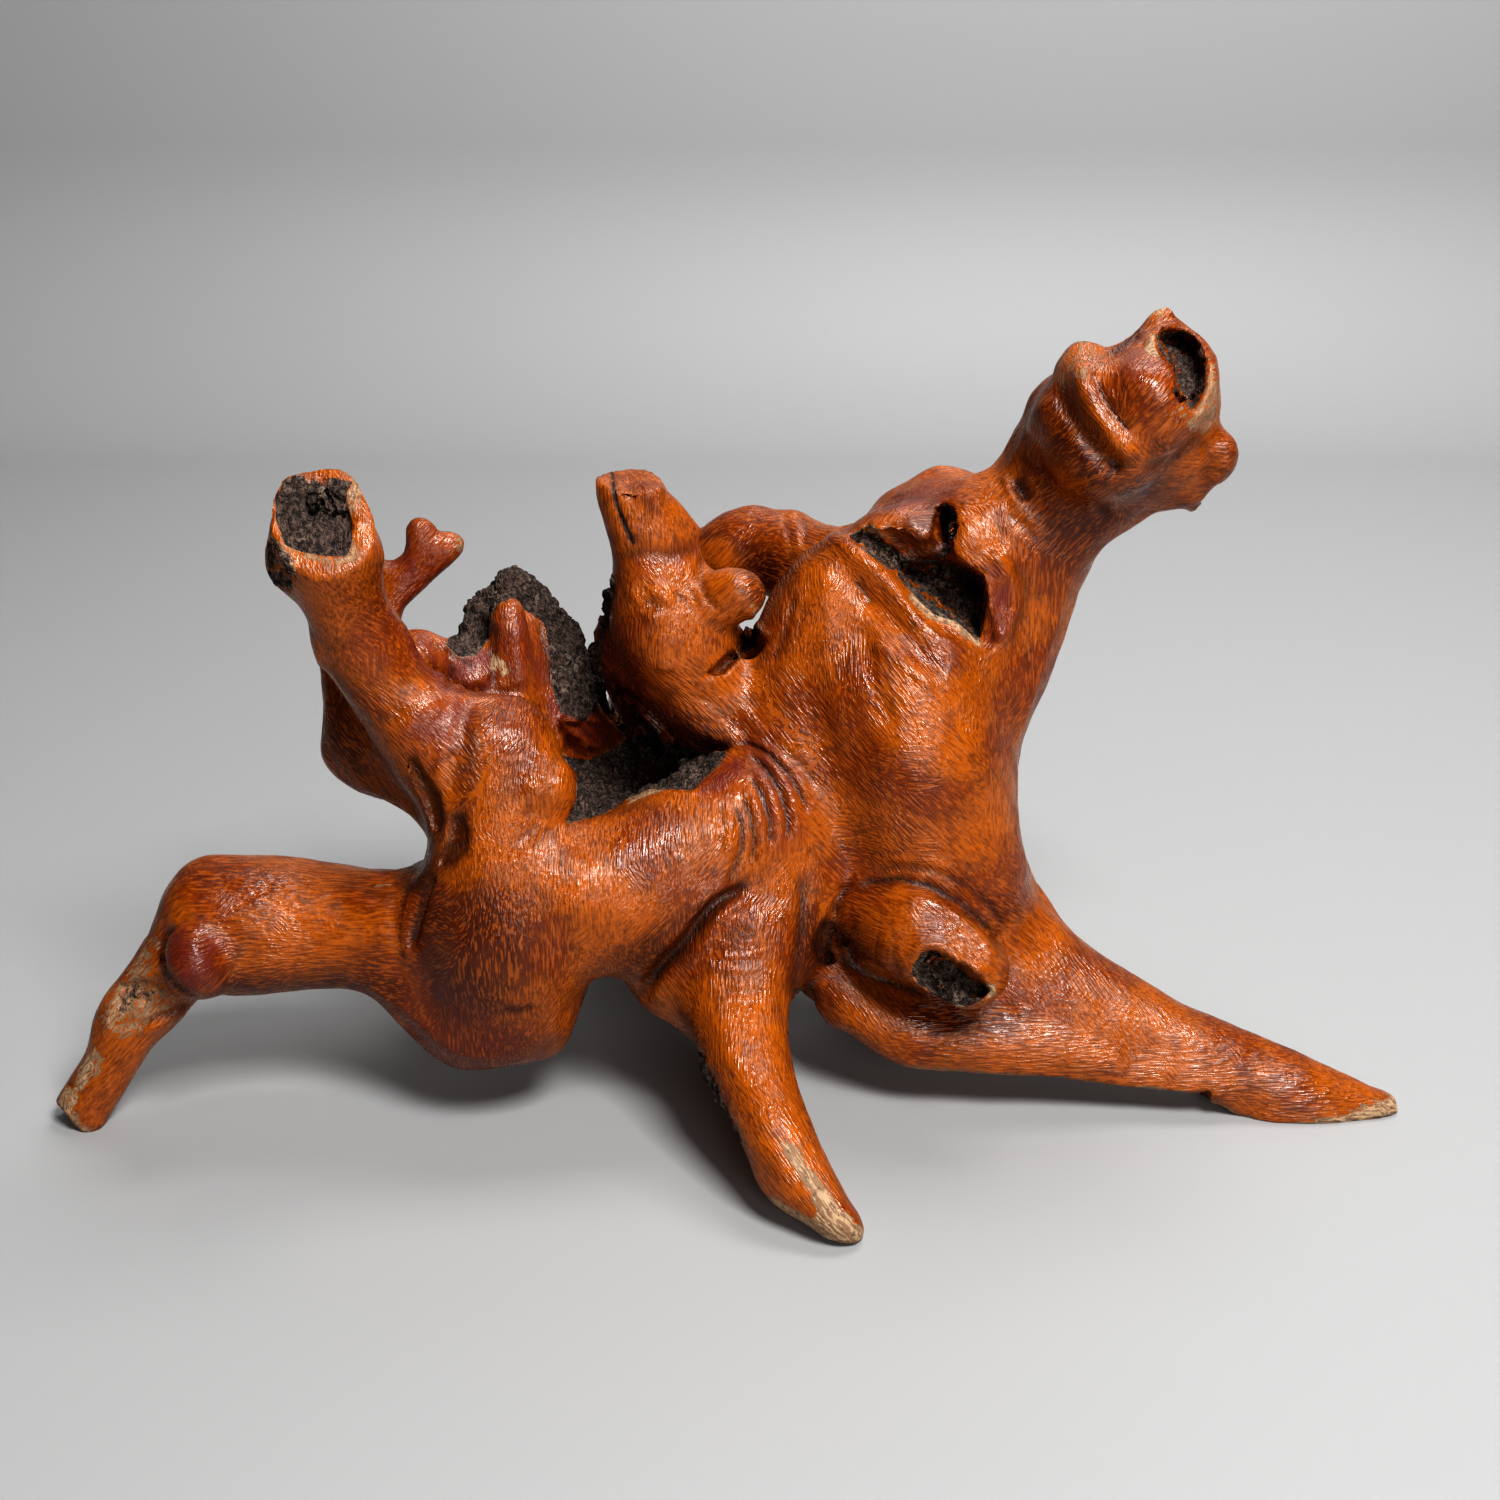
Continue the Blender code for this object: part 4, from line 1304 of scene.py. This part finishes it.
# The way the fibres run, in pixels from the trunk outwards.
grainLines = dict(
    neckToTrunk=[
        (1150, 470), (1080, 500), (1025, 540), (1015, 620), (1005, 700), (995, 780), (1005, 850),
        (1045, 920), (1110, 985),
    ],
    trunkRidge=[(850, 545), (828, 620), (832, 700), (860, 780), (900, 840)],
    fanCentre=[(790, 700), (850, 750), (910, 770), (960, 785), (1000, 800)],
    fanLow=[
        (800, 780), (850, 820), (930, 845), (990, 880), (1040, 930), (1110, 1000), (1200, 1050),
        (1300, 1085), (1390, 1105),
    ],
    trunkMiddle=[(900, 640), (930, 690), (960, 730), (990, 770)],
    underKnob=[(840, 980), (900, 1030), (1000, 1050), (1120, 1070), (1250, 1110)],
    knobLine=[(850, 920), (900, 920), (950, 940), (995, 975)],
    frontLeg=[(775, 860), (755, 930), (745, 1000), (755, 1080), (790, 1160), (850, 1230)],
    web=[(640, 985), (670, 1010), (700, 1040)],
    saddle=[(665, 800), (660, 840), (645, 890), (625, 950)],
    saddleRight=[(715, 800), (718, 840), (705, 880)],
    bulge=[(520, 720), (500, 800), (490, 900), (490, 980), (505, 1050)],
    bulgeSide=[(560, 850), (570, 930), (560, 1020)],
    leftLeg=[
        (450, 930), (380, 925), (300, 915), (230, 915), (175, 930), (140, 980), (110, 1050), (75, 1110),
    ],
    arm=[(470, 770), (430, 720), (390, 670), (355, 610), (330, 560), (318, 500)],
    lobe=[(410, 800), (360, 765), (330, 730), (325, 690)],
    stub=[(800, 760), (745, 720), (700, 690), (675, 640), (660, 580), (635, 500)],
    stubKnob=[(695, 600), (725, 585), (748, 575)],
    arch=[(715, 545), (760, 520), (800, 525), (840, 560)],
    head=[(1050, 470), (1100, 450), (1150, 410), (1195, 370)],
    headBand=[(1140, 460), (1105, 415), (1085, 370), (1080, 345)],
    cheek=[(1130, 490), (1180, 470), (1230, 455)],
    brow=[(850, 530), (900, 500), (950, 480), (1000, 475), (1040, 400)],
    lip=[(820, 540), (870, 572), (920, 612), (975, 650)],
    lipRight=[(985, 545), (1012, 580), (1010, 630), (985, 660)],
    twig=[(402, 610), (430, 570), (460, 545)],
    tongue=[(525, 700), (515, 650), (512, 605)],
    peak=[(560, 700), (540, 640), (510, 570)],
)

# Fibre lines on the sides that the photo doesn't show, mm in the root's frame.
hiddenGrain = dict(
    rearLeg=[(-24, 103, 222), (-38, 125, 170), (-48, 143, 112), (-42, 157, 58), (-26, 165, 4)],
    trunkBack=[(150, 60, 300), (115, 75, 250), (85, 85, 190), (90, 80, 120), (120, 40, 50), (180, -10, 30)],
    bodyBack=[(60, 90, 140), (0, 90, 120), (-60, 75, 110), (-110, 60, 100), (-150, 20, 95)],
    peakBack=[(-105, 95, 110), (-108, 95, 170), (-110, 75, 240)],
    armBack=[(-140, 0, 150), (-165, -10, 210), (-178, -20, 260), (-182, -30, 310)],
    headBack=[(150, 60, 300), (185, 60, 340), (205, 50, 380)],
)

grainForm = dict(
    step=8,  # pixels between places on a line
    onSkin=6,  # pixels between a place and the nearest point of the skin
    jump=20,  # mm between neighbours from which a line is broken there
    hiddenSteps=5,  # places on each stretch of a hidden line
    blur=4,  # mm over which the lines' ways are blended
    batch=20000,  # points worked out together
)


def areaMask(areas, points, seen):
    pixels = toPixels(points)
    total = np.zeros(len(points))
    for area in areas.values():
        near = nearBox(pixels, area["outline"], area["soft"])
        if "reach" in area:
            low, high = area["reach"]
            near = near[(points[near, 1] > low) & (points[near, 1] < high)]
        else:
            near = near[seen[near]]
        gap = insideBy(pixels[near], area["outline"])
        strength = smoothStep(-area["soft"], area["soft"], gap) * area.get("level", 1)
        total[near] = np.maximum(total[near], strength)
    return total


def ripplePattern(pixels, seen):
    # the count of ripples along the limb, and their strength, for the material
    count = np.zeros(len(pixels))
    level = np.zeros(len(pixels))
    for ripple in rippleAreas.values():
        near = nearBox(pixels, ripple["outline"], rippleForm["margin"])
        near = near[seen[near]]
        length = np.linalg.norm(np.diff(np.array(ripple["path"], float), axis=0), axis=1).sum()
        along = pathDistance(pixels[near], ripple["path"])[1] * length / rippleForm["pixelsPerMm"]
        count[near] = along / ripple["spacing"]
        inside = insideBy(pixels[near], ripple["outline"])
        level[near] = smoothStep(*rippleForm["fade"], inside) * ripple["level"]
    return count, level


# Crumbled blocks, cracks and rough fibres where the wood is rotten.
rotRelief = dict(
    squash=(1, 1, 0.45),  # of the blocks' pattern, so that they stand tall
    blocks=[(9, 0.30, 2.2, 5), (3.6, 0.35, 0.9, 6)],  # mm wide, gap at which a crack ends, mm high, seed
    crackFrom=0.02,  # gap between blocks at which a crack starts
    middle=0.8,  # share of a block's height that lies below the sound skin
    lumps=[(7, 1.3, 7), (2.6, 0.6, 8)],  # mm wide, mm high, seed
    least=0.03,  # of the rot's mask
    fade=(0.1, 0.8),  # of the rot's mask, where the relief starts and where it is full
)


def crumbleRot(skin):
    points, normals = readPoints(skin.data), readNormals(skin.data)
    rot = areaMask(rotAreas, points, seenFromCamera(points, normals))
    near = np.nonzero(rot > rotRelief["least"])[0]
    place = points[near]
    tall = place * np.array(rotRelief["squash"])
    height = 0
    for size, crack, high, seed in rotRelief["blocks"]:
        block = smoothStep(rotRelief["crackFrom"], crack, blocks(tall, size * mm, seed))
        height = height + (block - rotRelief["middle"]) * high
    height = height + layeredLumps(place, rotRelief["lumps"])
    points[near] += normals[near] * (height * mm * smoothStep(*rotRelief["fade"], rot[near]))[:, None]
    writeAboveFloor(skin.data, points)
    print("rot:", len(near), "points")


def softLumps(skin):
    # the slow unevenness of grown wood, and the small one under the lacquer
    points, normals = readPoints(skin.data), readNormals(skin.data)
    points += normals * (layeredLumps(points, rootSkin["lumps"]) * mm)[:, None]
    writeAboveFloor(skin.data, points)
    print("lumps:", len(rootSkin["lumps"]), "sizes")


def grainWays(points, normals):
    # the fibre direction at each point, laid flat on the surface
    places, ways = [], []
    pixels = toPixels(points)
    shown = np.nonzero(seenFromCamera(points, normals))[0]
    for line in grainLines.values():
        spots = []
        for a, b in zip(np.array(line, float), np.array(line[1:], float)):
            spots += [a + (b - a) * t for t in np.arange(0, 1, grainForm["step"] / np.linalg.norm(b - a))]
        hits = []
        for spot in spots:
            gap = np.sum((pixels[shown] - spot) ** 2, axis=1)
            if gap.min() < grainForm["onSkin"] ** 2:
                hits.append(points[shown[np.argmin(gap)]])
        for a, b in zip(hits, hits[1:]):
            if 0 < np.linalg.norm(b - a) < grainForm["jump"] * mm:
                places.append(a)
                ways.append((b - a) / np.linalg.norm(b - a))
    for line in hiddenGrain.values():
        stretch = np.array(line) * mm
        for a, b in zip(stretch, stretch[1:]):
            for t in np.arange(0, 1, 1 / grainForm["hiddenSteps"]):
                places.append(a + (b - a) * t)
                ways.append((b - a) / np.linalg.norm(b - a))
    places, ways = np.array(places), np.array(ways)
    found = np.zeros_like(points)
    for start in range(0, len(points), grainForm["batch"]):
        some = slice(start, start + grainForm["batch"])
        weight = 1 / (squaredGaps(points[some], places) + (grainForm["blur"] * mm) ** 2) ** 2
        found[some] = weight @ ways
    found -= normals * np.sum(found * normals, axis=1)[:, None]
    return found / np.maximum(np.linalg.norm(found, axis=1), 1e-9)[:, None]


def hexColour(code):
    parts = [int(code[i:i + 2], 16) / 255 for i in (1, 3, 5)]
    return [c / 12.92 if c <= 0.04045 else ((c + 0.055) / 1.055) ** 2.4 for c in parts] + [1]


def addNode(tree, what, *values):
    # what names the kind of node, its settings, and its sockets and output where they aren't the first ones
    settings = dict(what)
    node = tree.nodes.new(settings.pop("kind"))
    sockets = settings.pop("sockets", range(len(values)))
    out = settings.pop("out", 0)
    for name, value in settings.items():
        setattr(node, name, value)
    for socket, value in zip(sockets, values):
        if isinstance(value, bpy.types.NodeSocket):
            tree.links.new(value, node.inputs[socket])
        else:
            node.inputs[socket].default_value = value
    return node.outputs[out]


# The kinds of node that the wood is made of, with their settings.
coordinates = dict(kind="ShaderNodeTexCoord", out="Object")
noise = dict(kind="ShaderNodeTexNoise", sockets=("Vector", "Scale", "Detail", "Roughness"))
stretched = dict(kind="ShaderNodeMapping", vector_type="TEXTURE", sockets=("Vector", "Rotation", "Scale"))
alike = dict(kind="ShaderNodeVectorMath", operation="DOT_PRODUCT", out="Value")
ramp = dict(kind="ShaderNodeMapRange", interpolation_type="SMOOTHSTEP")  # value, where it runs, its ends
cover = dict(kind="ShaderNodeMix", data_type="RGBA", sockets=(0, 6, 7), out=2)  # share, under, over
blend = dict(kind="ShaderNodeMix", sockets=(0, 2, 3))  # share, number, number
bump = dict(kind="ShaderNodeBump", sockets=("Height", "Distance", "Strength"))
plus = dict(kind="ShaderNodeMath", operation="ADD")
minus = dict(kind="ShaderNodeMath", operation="SUBTRACT")
times = dict(kind="ShaderNodeMath", operation="MULTIPLY")
timesPlus = dict(kind="ShaderNodeMath", operation="MULTIPLY_ADD")
dividedBy = dict(kind="ShaderNodeMath", operation="DIVIDE")
power = dict(kind="ShaderNodeMath", operation="POWER")
most = dict(kind="ShaderNodeMath", operation="MAXIMUM")
unsigned = dict(kind="ShaderNodeMath", operation="ABSOLUTE")
wave = dict(kind="ShaderNodeMath", operation="SINE")


def plainMaterial(name, code, rough):
    made = bpy.data.materials.new(name)
    made.use_nodes = True
    surface = made.node_tree.nodes["Principled BSDF"]
    surface.inputs["Base Color"].default_value = hexColour(code)
    surface.inputs["Roughness"].default_value = rough
    return made


# Lacquered rootwood: orange-brown wood under old shellac. The hair-fine fibres break its gloss into small
# glints, folds and hollows hold dark dirt and painted shade, chips show dry pale wood, and rot is matt,
# crumbly and grey-brown.
rootwood = dict(
    bright="#984e0b",
    glow="#ae5e18",
    main="#763a09",
    deep="#401703",
    # dark brown of the grit specks and of the painted shade in folds and hollows
    shade="#260d04",
    # purple-brown tint, mostly a painted reflection of the lacquer's sheen
    mauveSheen="#62261c",
    red="#6c2506",
    # dark red-brown of the stain and of the painted shade under the limbs
    stainAndShade="#3c1203",
    # darkest dirt in the folds and painted shade in the deepest hollows
    dirtAndPaintedShade="#1e0e08",
    bare="#82644a",
    barePale="#a98c6e",
    bareDark="#4c3426",
    rot="#5f4d44",
    rotPale="#8a7868",
    # dark of the rot, also painted as shade into its hollows
    rotDarkAndPaintedShade="#241b17",
    patchScale=22,  # per metre: 45 mm clouds
    mottleScale=95,  # 10 mm blotches
    gritScale=420,  # 2.4 mm grit
    hammerScale=330,  # 3 mm dimples in the lacquer
    fibreScale=900,  # per metre, across the fibres
    fibreLength=8,  # times their width
    fibreChoice=26,  # how sharply the streaks nearest to the grain are chosen
    gloss=0.2,
    glossRange=0.22,
    matt=0.92,
    ior=1.44,  # thin old shellac, less bright than new
    # heights of the relief, mm
    fibreHigh=0.30,
    hammerHigh=0.28,
    rippleHigh=0.03,
    lacquerThick=0.22,
    gritHigh=3.6,
    rotFibreHigh=0.8,
    rotLow=2.2,
)

# The fibres' pattern is laid along these lines in space.
fibreAxes = [
    (1, 0, 0), (0, 1, 0), (0, 0, 1), (1, 1, 0), (1, -1, 0), (1, 0, 1), (1, 0, -1), (0, 1, 1), (0, 1, -1),
    (1, 1, 1), (1, 1, -1), (1, -1, 1), (-1, 1, 1),
]


def fibrePattern(node, place):
    # fibres 0.3 mm wide are drawn about 0.6 mm wide so that they show. Each axis has its own streaks, and
    # those of the axis nearest to the grain are the ones that show.
    grain = node(dict(kind="ShaderNodeAttribute", attribute_name="grain", out="Vector"))
    streaks, share = 0.0, 0.0001
    for axis in fibreAxes:
        way = Vector(axis).normalized()
        turn = way.to_track_quat("X", "Z").to_euler()
        turned = node(stretched, place, turn, (rootwood["fibreLength"], 1, 1))
        streak = node(noise, turned, rootwood["fibreScale"], 1, 0.6)
        weight = node(power, node(unsigned, node(alike, grain, way)), rootwood["fibreChoice"])
        streaks = node(timesPlus, streak, weight, streaks)
        share = node(plus, weight, share)
    return node(ramp, node(dividedBy, streaks, share), 0.28, 0.72)


def lacqueredRootwood():
    made = bpy.data.materials.new("lacqueredRootwood")
    made.use_nodes = True
    tree = made.node_tree
    node = functools.partial(addNode, tree)
    look = rootwood

    place = node(coordinates)
    masks = {}
    for key in ("rot", "bare", "mauveSheen", "stainAndShade", "crease", "cavity", "rippleWay", "rippleLevel"):
        masks[key] = node(dict(kind="ShaderNodeAttribute", attribute_name=key, out="Fac"))
    patch = node(noise, place, look["patchScale"], 2)
    mottle = node(noise, place, look["mottleScale"], 3, 0.6)
    grit = node(noise, place, look["gritScale"], 3, 0.65)
    hammer = node(noise, place, look["hammerScale"], 1)
    fibre = fibrePattern(node, place)
    # painted shade: the folds and hollows are darkened, together with the dirt held in the folds
    fold = node(times, masks["crease"], node(ramp, grit, 0.25, 0.6, 1.0, 0.75))
    hollow = node(most, fold, node(ramp, masks["cavity"], 0.05, 0.35, 0, 0.8))

    # each kind of surface: its first colour, and what covers it from below upwards, share and colour
    # painted shade and stain: undersides, valleys and shaded sides are darkened
    stainedAndShaded = node(times, masks["stainAndShade"], node(ramp, mottle, 0.2, 0.6, 0.7, 1.0))
    fibreLines = node(times, node(ramp, fibre, 0.50, 0.95, 0, 0.5), node(ramp, hammer, 0.35, 0.65, 0.45, 1.0))
    # painted reflection: a purple tint where the lacquer's sheen shows, partly its own tone
    purpleSheen = node(times, masks["mauveSheen"], node(ramp, mottle, 0.3, 0.6, 0.35, 0.9))
    rotCrumbs = node(times, node(ramp, mottle, 0.52, 0.68, 0, 0.75), node(ramp, grit, 0.45, 0.6))
    covers = dict(
        wood=("main", [
            (node(ramp, patch, 0.38, 0.62), "bright"),
            (node(ramp, patch, 0.50, 0.40, 0, 0.4), "red"),
            (node(ramp, mottle, 0.45, 0.75, 0, 0.45), "deep"),
            (node(ramp, grit, 0.55, 0.75, 0, 0.5), "shade"),
            (stainedAndShaded, "stainAndShade"),
            (fibreLines, "deep"),
            (node(ramp, fibre, 0.48, 0.1, 0, 0.4), "glow"),
            (purpleSheen, "mauveSheen"),
            # painted shade in the folds and hollows, darkest in the deepest
            (hollow, "shade"),
            (node(ramp, hollow, 0.55, 1.0, 0, 0.9), "dirtAndPaintedShade"),
        ]),
        bare=("barePale", [
            (node(ramp, fibre, 0.35, 0.65), "bare"),
            (node(ramp, grit, 0.5, 0.72, 0, 0.8), "bareDark"),
        ]),
        rot=("rotDarkAndPaintedShade", [
            (node(ramp, grit, 0.38, 0.56), "rot"),
            (node(ramp, fibre, 0.5, 0.7, 0, 0.7), "rotDarkAndPaintedShade"),
            (rotCrumbs, "rotPale"),
            # painted shade in the rot's hollows
            (node(ramp, masks["cavity"], 0.1, 0.4, 0, 0.7), "rotDarkAndPaintedShade"),
        ]),
    )
    colours = {}
    for key, (first, layers) in covers.items():
        colours[key] = hexColour(look[first])
        for share, tone in layers:
            colours[key] = node(cover, share, colours[key], hexColour(look[tone]))

    # ragged edges: the masks are pulled about by the wood's own pattern
    torn = node(plus, node(times, node(minus, mottle, 0.5), 0.8), node(times, node(minus, grit, 0.5), 0.4))
    splinter = node(plus, node(times, torn, 0.7), node(times, node(minus, fibre, 0.5), 0.8))
    bareEdge = node(plus, masks["bare"], splinter)
    rotEdge = node(plus, masks["rot"], node(times, torn, 0.9))
    rim = node(times, node(ramp, rotEdge, 0.36, 0.44), node(ramp, patch, 0.50, 0.60, 0, 0.8))
    isBare = node(most, node(ramp, bareEdge, 0.46, 0.56), rim)
    isRot = node(ramp, rotEdge, 0.45, 0.55)
    shown = node(cover, isRot, node(cover, isBare, colours["wood"], colours["bare"]), colours["rot"])

    dull = node(most, node(most, isRot, node(times, isBare, 0.75)), node(times, hollow, 0.3))
    lacquerGloss = node(ramp, mottle, 0.35, 0.65, look["gloss"], look["gloss"] + look["glossRange"])
    gloss = node(blend, dull, lacquerGloss, look["matt"])

    ripples = node(wave, node(times, node(plus, masks["rippleWay"], mottle), 2 * math.pi))
    ripples = node(times, ripples, node(times, masks["rippleLevel"], look["rippleHigh"]))
    skinHeight = node(plus, node(times, fibre, look["fibreHigh"]), node(times, hammer, look["hammerHigh"]))
    skinHeight = node(minus, node(plus, skinHeight, ripples), node(times, isBare, look["lacquerThick"]))
    rotHeight = node(plus, node(times, grit, look["gritHigh"]), node(times, fibre, look["rotFibreHigh"]))
    rotHeight = node(minus, rotHeight, look["rotLow"])
    relief = node(bump, node(blend, isRot, skinHeight, rotHeight), mm, 1.0)

    surface = tree.nodes["Principled BSDF"]
    tree.links.new(shown, surface.inputs["Base Color"])
    tree.links.new(gloss, surface.inputs["Roughness"])
    tree.links.new(relief, surface.inputs["Normal"])
    surface.inputs["IOR"].default_value = look["ior"]
    return made


# Studio

studio = dict(
    floor="#979797",
    floorRough=0.6,
    halfWide=5.0,  # metres to each side
    nearEdge=-3.0,  # metres
    wallAt=1.55,  # metres behind the root
    wallHigh=4.0,  # metres
    bend=0.3,  # metres, radius between floor and wall
    lights=dict(
        key=dict(place=(0.68, -1.15, 2.00), at=(0, 0, 0.15), size=0.75, power=66),
        front=dict(place=(0.60, -2.05, 0.72), at=(0, 0, 0.15), size=0.75, power=14),
        wallWash=dict(place=(0.5, 0.75, 2.1), at=(0.35, 1.6, 0.5), size=1.0, power=31),
    ),
    skyLight=0.025,
    contrast="High Contrast",  # gives the photo's deep shadows
)


def addFloor():
    bpy.ops.object.select_all(action="DESELECT")
    bpy.ops.mesh.primitive_plane_add(size=1)
    floor = bpy.context.object
    floor.name = "floor"
    bend = studio["bend"]
    foot = studio["wallAt"] - bend
    outline = [(studio["nearEdge"], 0.0), (foot, 0.0)]
    turns = np.linspace(0.1, math.pi / 2, 12)
    outline += [(foot + bend * math.sin(a), bend - bend * math.cos(a)) for a in turns]
    outline += [(studio["wallAt"], studio["wallHigh"])]
    sweep = bmesh.new()
    sides = (-studio["halfWide"], studio["halfWide"])
    rows = [[sweep.verts.new((x, y, z)) for x in sides] for y, z in outline]
    for a, b in zip(rows, rows[1:]):
        sweep.faces.new((a[0], a[1], b[1], b[0]))
    sweep.to_mesh(floor.data)
    sweep.free()
    floor.data.shade_smooth()
    floor.data.materials.append(plainMaterial("paintedFloor", studio["floor"], studio["floorRough"]))


def addLights():
    for name, look in studio["lights"].items():
        light = bpy.data.lights.new(name, "AREA")
        light.shape = "SQUARE"
        light.size = look["size"]
        light.energy = look["power"]
        lamp = bpy.data.objects.new(name, light)
        lamp.location = look["place"]
        lamp.rotation_euler = (Vector(look["at"]) - lamp.location).to_track_quat("-Z", "Y").to_euler()
        bpy.context.scene.collection.objects.link(lamp)
    world = bpy.data.worlds.new("softbox")
    world.use_nodes = True
    world.node_tree.nodes["Background"].inputs["Color"].default_value = (1, 1, 1, 1)
    world.node_tree.nodes["Background"].inputs["Strength"].default_value = studio["skyLight"]
    bpy.context.scene.world = world
    bpy.context.scene.view_settings.view_transform = "Standard"
    bpy.context.scene.view_settings.look = studio["contrast"]
    print("studio:", len(studio["lights"]), "lights")


def thinned(skin):
    # fewer triangles; gives the fine skin's own normals at the points that are left
    before = readPoints(skin.data)
    normals = readNormals(skin.data)
    tree = treeOf(before)
    selectOnly(skin)
    thin = skin.modifiers.new("thin", "DECIMATE")
    thin.ratio = rootSkin["triangles"] / (2 * len(before))
    bpy.ops.object.modifier_apply(modifier=thin.name)
    nearest = [[k for _, k, _ in tree.find_n(p, rootSkin["normalsFrom"])] for p in readPoints(skin.data)]
    mean = normals[np.array(nearest)].mean(axis=1)
    return mean / np.linalg.norm(mean, axis=1)[:, None]


def cavityMask(mesh, points, normals):
    # how much the skin rises around each point, above 0 in a hollow
    edges = np.empty(len(mesh.edges) * 2, np.int32)
    mesh.edges.foreach_get("vertices", edges)
    a, b = edges.reshape(-1, 2).T
    count = len(points)
    way = points[b] - points[a]
    long = np.linalg.norm(way, axis=1)
    rise = np.bincount(a, np.sum(way * normals[a], axis=1), count)
    rise -= np.bincount(b, np.sum(way * normals[b], axis=1), count)
    hollow = rise / np.maximum(np.bincount(a, long, count) + np.bincount(b, long, count), 1e-9)
    share = np.bincount(a, minlength=count) + np.bincount(b, minlength=count)
    for _ in range(rootSkin["cavityPasses"]):
        total = np.bincount(a, hollow[b], count) + np.bincount(b, hollow[a], count)
        hollow = (hollow + total / np.maximum(share, 1)) / 2
    return hollow


def finishSkin(skin):
    normals = thinned(skin)
    mesh = skin.data
    points = readPoints(mesh)
    seen = seenFromCamera(points, normals)
    pixels = toPixels(points)
    # the stain mask is partly painted shade, and the purple-brown mask mostly a painted reflection
    for name, areas in dict(rot=rotAreas, bare=bareAreas, mauveSheen=mauveSheenAreas, stainAndShade=stainAndShadeAreas).items():
        writeMask(mesh, name, areaMask(areas, points, seen))
    # crease: dirt, old bark and painted shade in the folds, clefts and basin
    writeMask(mesh, "crease", np.maximum(creaseMask(pixels, seen), areaMask(darkAreas, points, seen)))
    # cavity: the mask that paints shade into the hollows
    writeMask(mesh, "cavity", cavityMask(mesh, points, normals))
    count, level = ripplePattern(pixels, seen)
    writeMask(mesh, "rippleWay", count)
    writeMask(mesh, "rippleLevel", level)
    writeVectors(mesh, "grain", grainWays(points, normals))
    mesh.shade_smooth()
    mesh.normals_split_custom_set_from_vertices(normals.tolist())
    mesh.materials.append(lacqueredRootwood())
    print("finished skin:", sum(len(f.vertices) - 2 for f in mesh.polygons), "triangles")


addCamera()
addFloor()
addLights()
skin = startSkin()
fillArmEnd(skin)
for reach, spread in rootSkin["outlinePasses"]:
    fitOutline(skin, reach, spread)
carveHollows(skin)
remeshed(skin, rootSkin["voxel"])
print("fine skin:", len(skin.data.vertices), "points")
softLumps(skin)
drawStrokes(skin)
crumbleRot(skin)
finishSkin(skin)
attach(skin, "root")
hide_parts("root")
